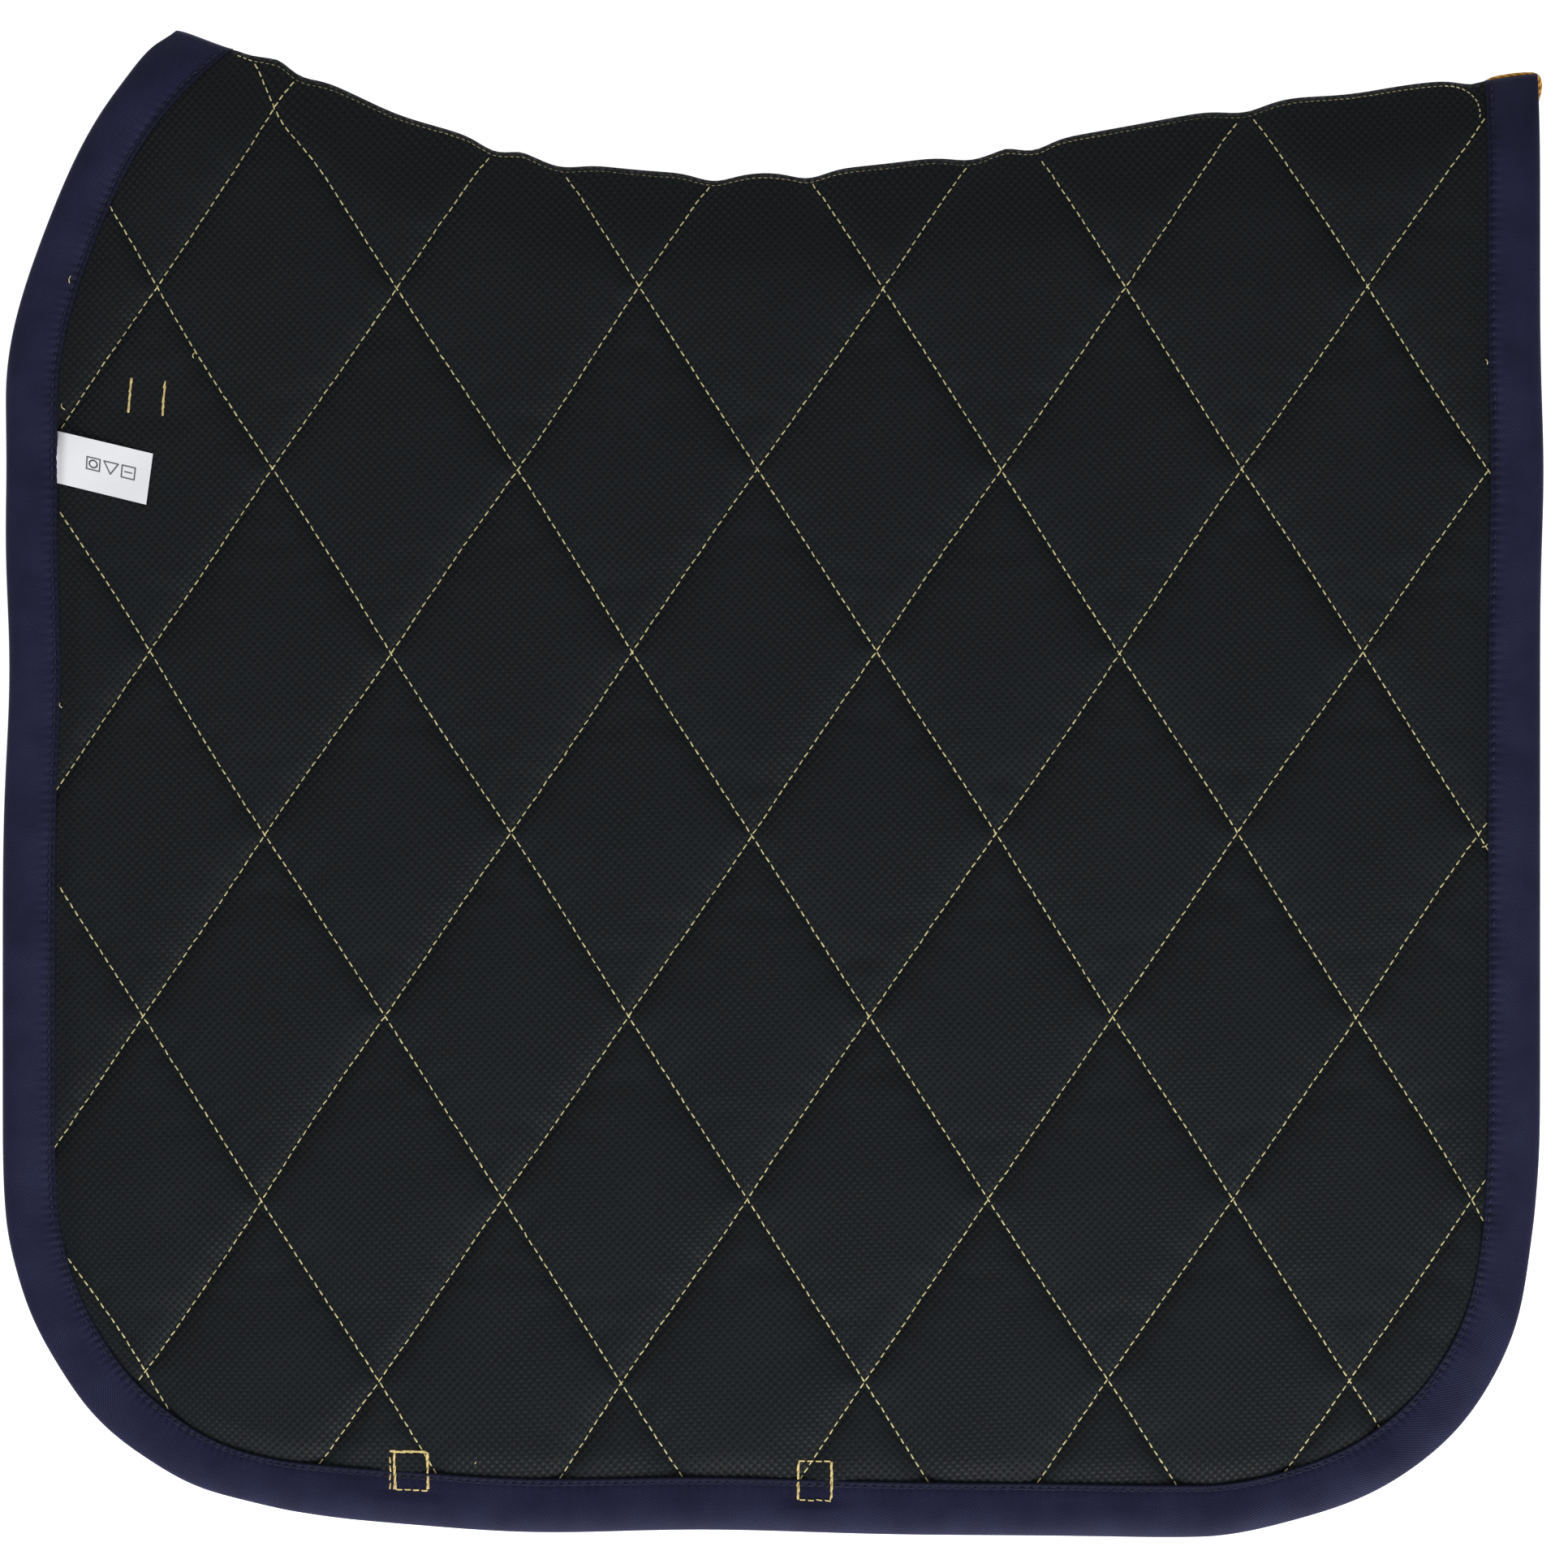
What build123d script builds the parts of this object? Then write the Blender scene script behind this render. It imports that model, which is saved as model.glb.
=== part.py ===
"""A riding saddle pad, folded along its spine with the lining outwards.

Millimetres. The pad lies flat: +X to the rear, +Y to the spine, +Z up. The origin is under the
middle of the pad, on the surface that it lies on. The near flank is the lower one. The off flank
is its mirror image about the fold plane, and turns on the spine until the pad is open.
"""

import os
from math import atan2, cos, degrees, hypot, radians, sin

from build123d import *

# Overall sizes of a folded flank
length = 600.0
bottom_front = 283.5  # below the origin, where the bottom edge meets the front edge
bottom_rear = 297.5
wither_top = 294.0
shoulder_height = 150.0  # where the straight front edge starts to lean back
shoulder_radius = 190.0
front_corner_radius = 118.0
rear_corner_radius = 130.0

# The spine, from the wither to the rear: places along X and heights
spine_stations = [
    (-262.0, wither_top + 14.5),
    (-230.5, wither_top),
    (-181.0, 275.5),
    (-108.7, 248.8),
    (-20.0, 237.0),
    (75.0, 244.8),
    (158.0, 259.0),
    (230.0, 270.5),
    (length / 2 + 12.0, 277.5),
]

# Soft layers
lining_t = 1.2
foam_t = 6.1
shell_t = 1.5
pressed_foam_t = 2.2  # in the seam allowance under the binding
spine_foam_t = 2.0  # where the pad turns over at the spine
flank_t = lining_t + foam_t + shell_t
fold_gap = 13.4  # between the two outer shells of the folded pad
fold_plane = flank_t + fold_gap / 2
body_clearance = 0.3  # between pieces that turn against each other

# Binding and its trim
binding_width = 20.5
binding_t = 0.9
binding_fold_t = 1.4
binding_seam_inset = binding_width - 2.2
piping_radius = 1.1
piping_inset = binding_width - 1.4
piping_clearance = 0.1
margin_top = binding_t + lining_t + pressed_foam_t + shell_t
binding_top = margin_top + binding_t

# Threads, which lie sunk in what they hold
thread_w = 0.7
bold_thread_w = 1.2
thread_depth = 0.4

# Diamond quilting
diamond_width = 94.7
diamond_height = 142.3
quilt_tilt = -0.65
quilt_centre = (-5.2, 122.7)
quilt_lines_each_side = 6

# Spine
spine_tape_w = 12.0
spine_tape_t = 0.9
spine_seam_inset = 2.2

# Girth keeper: a web band over the bottom edge of the outer shell
web_t = 1.4
web_w = 20.0
keeper_span = 158.5  # between the two box seams
keeper_front_x = -141.5
keeper_y = -269.8
keeper_room = 4.5
keeper_ramp = 14.0
box_seam_w = 14.6
box_seam_h = 14.5

# Saddle strap: a web tab with hook and loop patches, sewn near the front edge
strap_length = 112.0
strap_front_x = -257.0
strap_y = 151.0
bar_tack_h = 13.8
bar_tack_x = -250.2
bar_tack_gap = 13.2
patch_length = 38.0
patch_w = 16.0
patch_t = 1.2
strap_end_margin = 4.0

# Size label, tucked under the binding of the off flank
label_w = 20.0
label_length = 36.5
label_t = 0.3
label_y = 137.4
label_droop = 13.4  # degrees

# Where layers meet, from the surface up
foam_low = lining_t
shell_low = lining_t + foam_t
pressed_shell_low = binding_t + lining_t + pressed_foam_t
half_fold = fold_plane - body_clearance / 2

os.makedirs("parts", exist_ok=True)


def bound_edge(inset):
    """The line of the front, bottom and rear edges, moved in by an inset."""
    slope = (bottom_rear - bottom_front) / length
    rise = inset * hypot(1, slope)
    front_x = inset - length / 2
    rear_x = length / 2 - inset
    front_y = rise - bottom_front - slope * inset
    rear_y = rise - bottom_rear + slope * inset
    with BuildLine() as edge:
        CenterArc((shoulder_radius - length / 2, shoulder_height), shoulder_radius - inset, 105, 75)
        FilletPolyline(
            (front_x, shoulder_height),
            (front_x, front_y),
            (rear_x, rear_y),
            (rear_x, wither_top + 2 * binding_width),
            radius=[front_corner_radius - inset, rear_corner_radius - inset],
        )
    return edge.line


def flank_area(edge_inset, spine_inset):
    """The flat shape of a flank, moved in from its bound edge and from its spine."""
    edge = bound_edge(edge_inset)
    low = -2 * bottom_rear
    with BuildSketch() as area:
        with BuildLine():
            add(edge)
            Line(*edge.vertices().sort_by(Axis.Y)[-2:])
        make_face()
        with BuildLine():
            spine = Spline([(x, y - spine_inset) for x, y in spine_stations])
            Polyline(spine @ 1, (length, low), (-length, low), (-length, wither_top), spine @ 0)
        make_face(mode=Mode.INTERSECT)
    return area.sketch


def band(outer, inner):
    """What one area has outside another."""
    with BuildSketch() as area:
        add(outer)
        add(inner, mode=Mode.SUBTRACT)
    return area.sketch


def layers(label, slabs, less=()):
    """A piece made of flat areas, each from one height to another, less the pieces sunk in it."""
    with BuildPart() as piece:
        for area, low, high in slabs:
            with BuildSketch(Plane.XY.offset(low)):
                add(area)
            extrude(amount=high - low)
        for sunk in less:
            add(sunk, mode=Mode.SUBTRACT)
    piece.part.label = label
    return piece.part


def quilt_lines(area, kept_clear):
    """Both sets of leaning stitch lines inside an area, interrupted where other seams are."""
    lean = degrees(atan2(diamond_width, diamond_height))
    steps = range(-quilt_lines_each_side, quilt_lines_each_side + 1)
    places = [(quilt_centre[0] + step * diamond_width, quilt_centre[1]) for step in steps]
    with BuildSketch() as lines:
        with Locations(*places):
            Rectangle(thread_w, 3 * length, rotation=quilt_tilt - lean)
            Rectangle(thread_w, 3 * length, rotation=quilt_tilt + lean)
        add(area, mode=Mode.INTERSECT)
        add(kept_clear, mode=Mode.SUBTRACT)
    return lines.sketch


# Flat areas that the layers share
spine_shell_inset = lining_t + spine_foam_t
spine_inner_inset = spine_shell_inset + shell_t
tape_inset = spine_inner_inset + spine_tape_t
whole = flank_area(0, 0)
inside_fold = flank_area(binding_fold_t, 0)
panel = flank_area(binding_width, 0)
allowance = band(inside_fold, panel)  # what the binding grips
binding_strip = band(whole, panel)
strap_rear_x = strap_front_x + strap_length
keeper_rear_x = keeper_front_x + keeper_span
keeper_places = [(keeper_front_x, keeper_y), (keeper_rear_x, keeper_y)]

# Seam lines, as they show on the surface
with BuildSketch() as keeper_seams:
    with Locations(*keeper_places):
        Rectangle(box_seam_w, box_seam_h)
        Rectangle(box_seam_w - 2 * bold_thread_w, box_seam_h - 2 * bold_thread_w, mode=Mode.SUBTRACT)
with BuildSketch() as keeper_patches:
    with Locations(*keeper_places):
        Rectangle(box_seam_w, box_seam_h)
with BuildSketch() as tacks:
    with Locations((bar_tack_x, strap_y), (bar_tack_x + bar_tack_gap, strap_y)):
        Rectangle(bold_thread_w, bar_tack_h)
with BuildSketch() as other_seams:
    add(keeper_patches.sketch)
    add(tacks.sketch)
spine_seam = band(
    flank_area(binding_width, spine_seam_inset),
    flank_area(binding_width, spine_seam_inset + thread_w),
)
binding_seam, binding_seam_outside = (
    band(
        band(flank_area(binding_seam_inset, start), flank_area(binding_seam_inset + thread_w, start)),
        keeper_patches.sketch,
    )
    for start in (0, spine_inner_inset)
)
inner_quilting = quilt_lines(
    flank_area(binding_width, spine_seam_inset + 2 * thread_w), other_seams.sketch
)
outer_quilting = quilt_lines(
    flank_area(binding_width + shell_t, tape_inset + spine_tape_w), keeper_patches.sketch
)

# Heights of what is sewn on the outer shell
web_top = flank_t + web_t
keeper_low = binding_top + 2 * piping_radius + keeper_room
keeper_top = keeper_low + web_t

# Stitching, which the layers are grooved for
quilting_inside = layers("lining_quilting_thread", [(inner_quilting, 0, thread_depth)])
quilting_outside = layers(
    "shell_quilting_thread", [(outer_quilting, flank_t - thread_depth, flank_t)]
)
spine_stitching = layers("spine_stitching", [(spine_seam, 0, thread_depth)])
binding_stitching = layers(
    "binding_stitching",
    [
        (binding_seam, 0, thread_depth),
        (binding_seam_outside, binding_top - thread_depth, binding_top),
    ],
)
keeper_stitching = layers(
    "keeper_stitching",
    [(keeper_seams.sketch, 0, thread_depth), (keeper_seams.sketch, web_top - thread_depth, web_top)],
)
bar_tacks = layers(
    "strap_bar_tacks",
    [(tacks.sketch, 0, thread_depth), (tacks.sketch, web_top - thread_depth, web_top)],
)

# The three layers of a flank: flat in the panel, pressed thin at the edge, turned up at the spine
lining = layers(
    "lining",
    [
        (panel, 0, lining_t),
        (allowance, binding_t, binding_t + lining_t),
        (band(inside_fold, flank_area(binding_fold_t, lining_t)), binding_t, half_fold),
        (band(panel, flank_area(binding_width, lining_t)), 0, half_fold),
    ],
    less=[quilting_inside, spine_stitching, keeper_stitching, bar_tacks],
)
foam = layers(
    "foam",
    [
        (flank_area(binding_width, lining_t), foam_low, pressed_shell_low),
        (flank_area(binding_width + shell_t, lining_t), pressed_shell_low, shell_low),
        (band(flank_area(binding_fold_t, lining_t), panel), binding_t + lining_t, pressed_shell_low),
        (
            band(flank_area(binding_fold_t, lining_t), flank_area(binding_fold_t, spine_shell_inset)),
            pressed_shell_low,
            half_fold,
        ),
    ],
)
shell = layers(
    "shell",
    [
        (flank_area(binding_width, spine_shell_inset), shell_low, flank_t),
        (
            band(
                flank_area(binding_width, spine_shell_inset),
                flank_area(binding_width + shell_t, spine_shell_inset),
            ),
            pressed_shell_low,
            flank_t,
        ),
        (
            band(flank_area(binding_fold_t, spine_shell_inset), panel),
            pressed_shell_low,
            margin_top,
        ),
        (
            band(
                flank_area(binding_fold_t, spine_shell_inset),
                flank_area(binding_fold_t, spine_inner_inset),
            ),
            margin_top,
            half_fold,
        ),
    ],
    less=[quilting_outside, foam],
)

# A tape over the spine seam, inside the fold, which lies on the shell and turns up with it
tape_edge = binding_width + shell_t
spine_tape = layers(
    "spine_tape",
    [
        (
            band(
                flank_area(tape_edge, spine_inner_inset),
                flank_area(tape_edge, tape_inset),
            ),
            flank_t,
            half_fold,
        ),
        (
            band(
                flank_area(tape_edge, spine_inner_inset),
                flank_area(tape_edge, tape_inset + spine_tape_w),
            ),
            flank_t,
            flank_t + spine_tape_t,
        ),
    ],
)

# The binding wraps the edge: a strip on each face and the fold between them
binding = layers(
    "binding",
    [
        (binding_strip, 0, binding_t),
        (band(flank_area(0, spine_inner_inset), panel), margin_top, binding_top),
        (band(whole, inside_fold), 0, binding_top),
    ],
    less=[binding_stitching, keeper_stitching],
)

# A thin round cord along the binding's inner edge, on the outer side
piping_path = Pos(0, 0, binding_top + piping_radius) * bound_edge(piping_inset)
with BuildPart() as piping:
    with BuildSketch(Plane(origin=piping_path @ 0, z_dir=piping_path % 0)):
        Circle(piping_radius)
    sweep(path=piping_path)
    with BuildSketch(Plane.XY.offset(binding_top)):
        add(flank_area(0, tape_inset))
    extrude(amount=2 * piping_radius, mode=Mode.INTERSECT)
piping.part.label = "piping"

# The keeper's feet are sewn down at both ends, and the web between them stands clear of the shell
foot = web_w / 2
with BuildPart() as girth_keeper:
    with BuildSketch(Plane.XZ.offset(-keeper_y)):
        with BuildLine():
            Polyline(
                (keeper_front_x - foot, binding_top),
                (keeper_front_x - foot, web_top),
                (keeper_front_x + foot - web_t, web_top),
                (keeper_front_x + foot + keeper_ramp - web_t, keeper_top),
                (keeper_rear_x - foot - keeper_ramp + web_t, keeper_top),
                (keeper_rear_x - foot + web_t, web_top),
                (keeper_rear_x + foot, web_top),
                (keeper_rear_x + foot, binding_top),
                (keeper_rear_x - foot, binding_top),
                (keeper_rear_x - foot - keeper_ramp, keeper_low),
                (keeper_front_x + foot + keeper_ramp, keeper_low),
                (keeper_front_x + foot, binding_top),
                close=True,
            )
        make_face()
    extrude(amount=web_w / 2, both=True)
    with BuildSketch(Plane.XY.offset(binding_top)):
        add(panel)
    extrude(amount=flank_t - binding_top, mode=Mode.SUBTRACT)
    with BuildSketch(Plane.XY.offset(binding_top)):
        add(band(flank_area(piping_inset - piping_radius - piping_clearance, 0), panel))
    extrude(amount=2 * piping_radius + piping_clearance, mode=Mode.SUBTRACT)
    add(keeper_stitching, mode=Mode.SUBTRACT)
girth_keeper.part.label = "girth_keeper"

# The saddle strap lies flat on the shell, its free end to the rear
with BuildPart() as saddle_strap:
    with BuildSketch(Plane.XY.offset(flank_t)):
        with Locations(((strap_front_x + strap_rear_x) / 2, strap_y)):
            Rectangle(strap_length, web_w)
    extrude(amount=web_t)
    fillet(saddle_strap.edges().filter_by(Axis.Z).group_by(Axis.X)[-1], web_w / 4)
    add(bar_tacks, mode=Mode.SUBTRACT)
saddle_strap.part.label = "saddle_strap"

# Its hook patch is near the free end and its loop patch is near the sewn end
loop_patch_x = bar_tack_x + bar_tack_gap + strap_end_margin + patch_length / 2
hook_patch_x = strap_rear_x - strap_end_margin - patch_length / 2
patches = {}
for name, patch_x in (("strap_loop_patch", loop_patch_x), ("strap_hook_patch", hook_patch_x)):
    with BuildPart() as patch:
        with BuildSketch(Plane.XY.offset(web_top)):
            with Locations((patch_x, strap_y)):
                RectangleRounded(patch_length, patch_w, patch_w / 8)
        extrude(amount=patch_t)
    patch.part.label = name
    patches[name] = patch.part

# A printed ribbon, sewn by its front end beside the binding of the off flank
label_x = binding_width - length / 2
label_run = label_length * cos(radians(label_droop))
label_drop = label_length * sin(radians(label_droop))
with BuildPart() as size_label:
    with BuildSketch(Plane.XY.offset(2 * fold_plane + body_clearance)):
        with BuildLine():
            Polyline(
                (label_x, label_y),
                (label_x + label_run, label_y - label_drop),
                (label_x + label_run, label_y - label_drop - label_w),
                (label_x, label_y - label_w),
                close=True,
            )
        make_face()
    extrude(amount=label_t)
size_label.part.label = "size_label"

# The near flank as built, and the off flank as its mirror image about the fold plane
flank = [
    lining,
    foam,
    shell,
    binding,
    piping.part,
    spine_tape,
    quilting_inside,
    quilting_outside,
    spine_stitching,
    binding_stitching,
    girth_keeper.part,
    keeper_stitching,
    saddle_strap.part,
    *patches.values(),
    bar_tacks,
]
for piece in flank:
    export_step(piece, f"parts/left_{piece.label}.step")
    with BuildPart() as twin:
        add(mirror(piece, about=Plane.XY.offset(fold_plane), mode=Mode.PRIVATE))
    twin.part.label = f"right_{piece.label}"
    export_step(twin.part, f"parts/{twin.part.label}.step")
export_step(size_label.part, "parts/size_label.step")

# Levels and places that the joints and the openings go by
print("fold plane", fold_plane, "pad thickness", 2 * fold_plane)
print("keeper underside", keeper_low, "keeper top", keeper_top, "half fold", half_fold)
print("label hinge", label_x, label_y, 2 * fold_plane + body_clearance)
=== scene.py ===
# %% [markdown]
# # A quilted saddle pad, folded along its spine
# A saddle pad is two shaped flanks of cloth and padding, joined by a seam along the horse's back. Here it
# lies folded with its mesh lining outwards, so the navy outer shells face each other inside. We load the
# engineering frame first: it holds every sub-part's true place and size, and the joints that open the fold.

# %% Load the frame
import math

import bpy
import numpy as np
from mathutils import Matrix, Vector
from mathutils.bvhtree import BVHTree
from mathutils.geometry import delaunay_2d_cdt


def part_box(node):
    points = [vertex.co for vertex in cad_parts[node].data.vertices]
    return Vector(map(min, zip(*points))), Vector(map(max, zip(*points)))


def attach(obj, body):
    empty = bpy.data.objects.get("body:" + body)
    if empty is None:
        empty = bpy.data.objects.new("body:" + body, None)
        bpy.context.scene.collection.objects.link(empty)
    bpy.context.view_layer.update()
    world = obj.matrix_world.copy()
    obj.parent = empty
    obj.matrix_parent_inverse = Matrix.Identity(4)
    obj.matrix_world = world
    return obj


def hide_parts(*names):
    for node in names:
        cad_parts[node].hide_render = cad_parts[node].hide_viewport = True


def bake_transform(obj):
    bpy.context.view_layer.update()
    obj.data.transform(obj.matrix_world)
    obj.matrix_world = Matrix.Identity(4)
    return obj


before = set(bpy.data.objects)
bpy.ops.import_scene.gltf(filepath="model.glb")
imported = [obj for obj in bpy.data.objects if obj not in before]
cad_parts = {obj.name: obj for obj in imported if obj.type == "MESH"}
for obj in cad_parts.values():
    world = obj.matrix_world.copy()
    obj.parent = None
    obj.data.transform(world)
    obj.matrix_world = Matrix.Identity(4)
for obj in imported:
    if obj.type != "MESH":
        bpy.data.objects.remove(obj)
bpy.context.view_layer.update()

MM = 0.001

# %% [markdown]
# ## Sizes to work from
# Everything is measured from the frame, so that each soft piece lands where its solid is. Heights are
# counted outwards from the fold plane, the level half way between the two flanks: the near flank lies
# below it and the off flank above it, as mirror images.

# %% Levels and widths, read from the frame
edge_low, edge_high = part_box("left_binding")
panel_low, panel_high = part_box("left_lining_quilting_thread")
FOLD_Z = (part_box("left_lining")[0].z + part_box("right_lining")[1].z) / 2
FRONT_X, REAR_X = edge_low.x, edge_high.x
BINDING_W = panel_low.x - FRONT_X
LINING_LEVEL = FOLD_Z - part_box("left_lining")[0].z
SHELL_LEVEL = FOLD_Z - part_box("left_shell_quilting_thread")[1].z
BINDING_INNER_LEVEL = FOLD_Z - edge_high.z
print(f"fold plane {FOLD_Z / MM:.2f} mm, binding {BINDING_W / MM:.1f} mm wide, "
      f"lining {LINING_LEVEL / MM:.1f} and shell {SHELL_LEVEL / MM:.1f} mm from the fold plane")

# %% The cut of a flank
PAST_REAR_END = 300 * MM  # how far back the rear edge is drawn on past the spine
SHOULDER_Y, SHOULDER_R = 150 * MM, 190 * MM
FRONT_CORNER_R, REAR_CORNER_R = 118 * MM, 130 * MM
BOTTOM_FRONT, BOTTOM_REAR = 283.5 * MM, 297.5 * MM
BOTTOM_SLOPE = (BOTTOM_REAR - BOTTOM_FRONT) / (REAR_X - FRONT_X)
SPINE_X = np.array([-262.0, -230.5, -181.0, -108.7, -20.0, 75.0, 158.0, 230.0, 268.0, 288.0, 312.0]) * MM
SPINE_Y = np.array([308.5, 294.0, 275.5, 248.8, 237.0, 244.8, 259.0, 270.5, 273.9, 276.0, 276.6]) * MM


def spline_bends(x, y):
    """How much a smooth curve through the stations bends at each of them."""
    n, gap = len(x), np.diff(x)
    rows, bend = np.eye(n), np.zeros(n)
    for i in range(1, n - 1):
        rows[i, i - 1:i + 2] = gap[i - 1], 2 * (gap[i - 1] + gap[i]), gap[i]
        bend[i] = 6 * ((y[i + 1] - y[i]) / gap[i] - (y[i] - y[i - 1]) / gap[i - 1])
    return np.linalg.solve(rows, bend)


SPINE_BENDS = spline_bends(SPINE_X, SPINE_Y)


def spine_y(x):
    """Height of the spine's edge at x."""
    x = np.clip(x, SPINE_X[0], SPINE_X[-1])
    i = np.clip(np.searchsorted(SPINE_X, x) - 1, 0, len(SPINE_X) - 2)
    gap = SPINE_X[i + 1] - SPINE_X[i]
    a, b = (SPINE_X[i + 1] - x) / gap, (x - SPINE_X[i]) / gap
    curve = ((a**3 - a) * SPINE_BENDS[i] + (b**3 - b) * SPINE_BENDS[i + 1]) * gap**2 / 6
    return a * SPINE_Y[i] + b * SPINE_Y[i + 1] + curve


def spine_distance(x, y):
    """How far a point is below the spine, square to it."""
    slope = (spine_y(x + MM) - spine_y(x - MM)) / (2 * MM)
    return (spine_y(x) - y) / np.hypot(1, slope)


def round_corner(a, b, radius):
    """Distance inside two edges that meet in a round corner."""
    past_a, past_b = np.maximum(radius - a, 0), np.maximum(radius - b, 0)
    return np.where((past_a > 0) & (past_b > 0), radius - np.hypot(past_a, past_b), np.minimum(a, b))


def edge_distance(x, y):
    """How far a point is inside the bound edge."""
    cx = FRONT_X + SHOULDER_R
    front = np.where((y > SHOULDER_Y) & (x < cx), SHOULDER_R - np.hypot(x - cx, y - SHOULDER_Y), x - FRONT_X)
    bottom = (y + BOTTOM_FRONT + BOTTOM_SLOPE * (x - FRONT_X)) / math.hypot(1, BOTTOM_SLOPE)
    return round_corner(round_corner(front, bottom, FRONT_CORNER_R), REAR_X - x, REAR_CORNER_R)


def bound_stations(step):
    """Points on the bound edge, from past the wither round to past the rear end, and their inward normals."""
    rise = math.hypot(1, BOTTOM_SLOPE)
    tilt = math.atan(BOTTOM_SLOPE)
    shoulder = (FRONT_X + SHOULDER_R, SHOULDER_Y, SHOULDER_R)
    places = [(FRONT_X + FRONT_CORNER_R, FRONT_CORNER_R), (REAR_X - REAR_CORNER_R, REAR_CORNER_R)]
    corners = [(x, r * rise - BOTTOM_FRONT - BOTTOM_SLOPE * (x - FRONT_X), r) for x, r in places]
    turns = [(shoulder, math.radians(110), math.pi), (corners[0], math.pi, 1.5 * math.pi - tilt),
             (corners[1], 1.5 * math.pi - tilt, 2 * math.pi)]
    points, normals = [], []

    def straight(to, normal):
        start = points[-1]
        n = max(1, round(np.linalg.norm(to - start) / step))
        for k in range(1, n):
            points.append(start + (to - start) * k / n)
            normals.append(normal)

    for (cx, cy, r), first, last in turns:
        n = round(r * (last - first) / step)
        for k in range(n + 1):
            a = first + (last - first) * k / n
            out = np.array([math.cos(a), math.sin(a)])
            if k == 0 and points:
                straight(np.array([cx, cy]) + r * out, -out)
            points.append(np.array([cx, cy]) + r * out)
            normals.append(-out)
    straight(np.array([REAR_X, PAST_REAR_END]), np.array([-1.0, 0.0]))
    return np.array(points), np.array(normals)


edge_points, edge_normals = bound_stations(2 * MM)
on_pad = spine_distance(*edge_points.T) > 0
print("bound edge", 2 * int(on_pad.sum()), "mm long, spine dips to",
      round(float(spine_y(np.linspace(-0.1, 0.1, 99)).min()) / MM, 1), "mm")

# %% [markdown]
# ## Nothing sewn is quite straight
# A pattern cut in cloth relaxes when it is laid down. One gentle drift field moves every piece of a flank
# together: binding, lining and stitches keep their fit, and the outline loses its drawing-board look.

# %% A gentle drift of the cloth
QUILT_TILT = math.radians(-0.65)
DIAMOND_W, DIAMOND_H = 94.7 * MM, 142.3 * MM
QUILT_CENTRE = np.array([-5.2, 122.7]) * MM
LEAN = math.atan2(DIAMOND_W, DIAMOND_H)
STITCH = 2.2 * MM  # spacing of the net along a sewn line
LINE_REACH, LINES_EACH_WAY = 620 * MM, 8  # longer and more than any flank needs
LINE_DRIFT = 1.5 * MM


def ripples(x, y, size, seed, count=7):
    """A smooth random field from -1 to 1, with lumps of about the given size."""
    dice = np.random.default_rng(seed)
    total = np.zeros_like(x)
    for _ in range(count):
        a, phase = dice.uniform(0, 2 * math.pi, 2)
        wave = 2 * math.pi / (size * dice.uniform(0.7, 1.6))
        total = total + np.sin((x * math.cos(a) + y * math.sin(a)) * wave + phase)
    return total / count


# Where the sewn pad has settled away from its pattern: (x, y, reach, shift in x, shift in y), in mm.
SETTLED = ((-287, 218, 50, 4.2, -1.2), (-298, 45, 45, 2.6, 0), (-298, 125, 30, 1.2, 0),
           (-268, -236, 45, 5.2, 4), (-290, -190, 25, 2.2, 0), (-240, -266, 20, 0, 2),
           (-208, -290, 30, 0, 4.3), (-95, -289, 55, 0, -3.6), (40, -291, 60, 0, -1.2),
           (205, -293, 32, -0.5, 2.6), (298, -182, 28, -2.8, 0), (280, -262, 25, 1.2, -0.8),
           (300, 122, 35, 1.3, 0), (-193, 282, 18, 0, 4), (-225, 292, 14, 0, 1), (-241, 286, 13, -1.3, 0.5),
           (-148, 260, 19, 0, -1.8), (226, 272, 20, 0, -2), (300, 277, 18, 0, 1.9),
           (-265, -244, 22, -2.2, 0), (-192, 262, 17, -2.4, -2.8))


def settling(x, y):
    """How far a point of the flank has moved from the pattern."""
    dx, dy = np.zeros_like(x), np.zeros_like(y)
    for cx, cy, reach, shift_x, shift_y in SETTLED:
        near = np.exp(-((x - cx * MM) ** 2 + (y - cy * MM) ** 2) / (reach * MM) ** 2)
        dx, dy = dx + shift_x * MM * near, dy + shift_y * MM * near
    return dx, dy


def pattern_place(x, y):
    """The pattern's point that has settled at this place."""
    dx, dy = settling(np.array(x), np.array(y))
    return float(x - dx), float(y - dy)


def quilt_drift(x, y):
    """How far the sewn lines wander from the marked ones."""
    return LINE_DRIFT * ripples(x, y, 0.13, 11), LINE_DRIFT * ripples(x, y, 0.13, 12)


def line_coordinates(x, y):
    """For both sets of quilting lines: distance to the nearest line."""
    dx, dy = quilt_drift(x, y)
    found = []
    for lean in (-LEAN, LEAN):
        turn = QUILT_TILT + lean
        across = (x + dx - QUILT_CENTRE[0]) * math.cos(turn) + (y + dy - QUILT_CENTRE[1]) * math.sin(turn)
        gap = DIAMOND_W * math.cos(turn)
        found.append(np.abs(across - gap * np.round(across / gap)))
    return found


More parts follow.
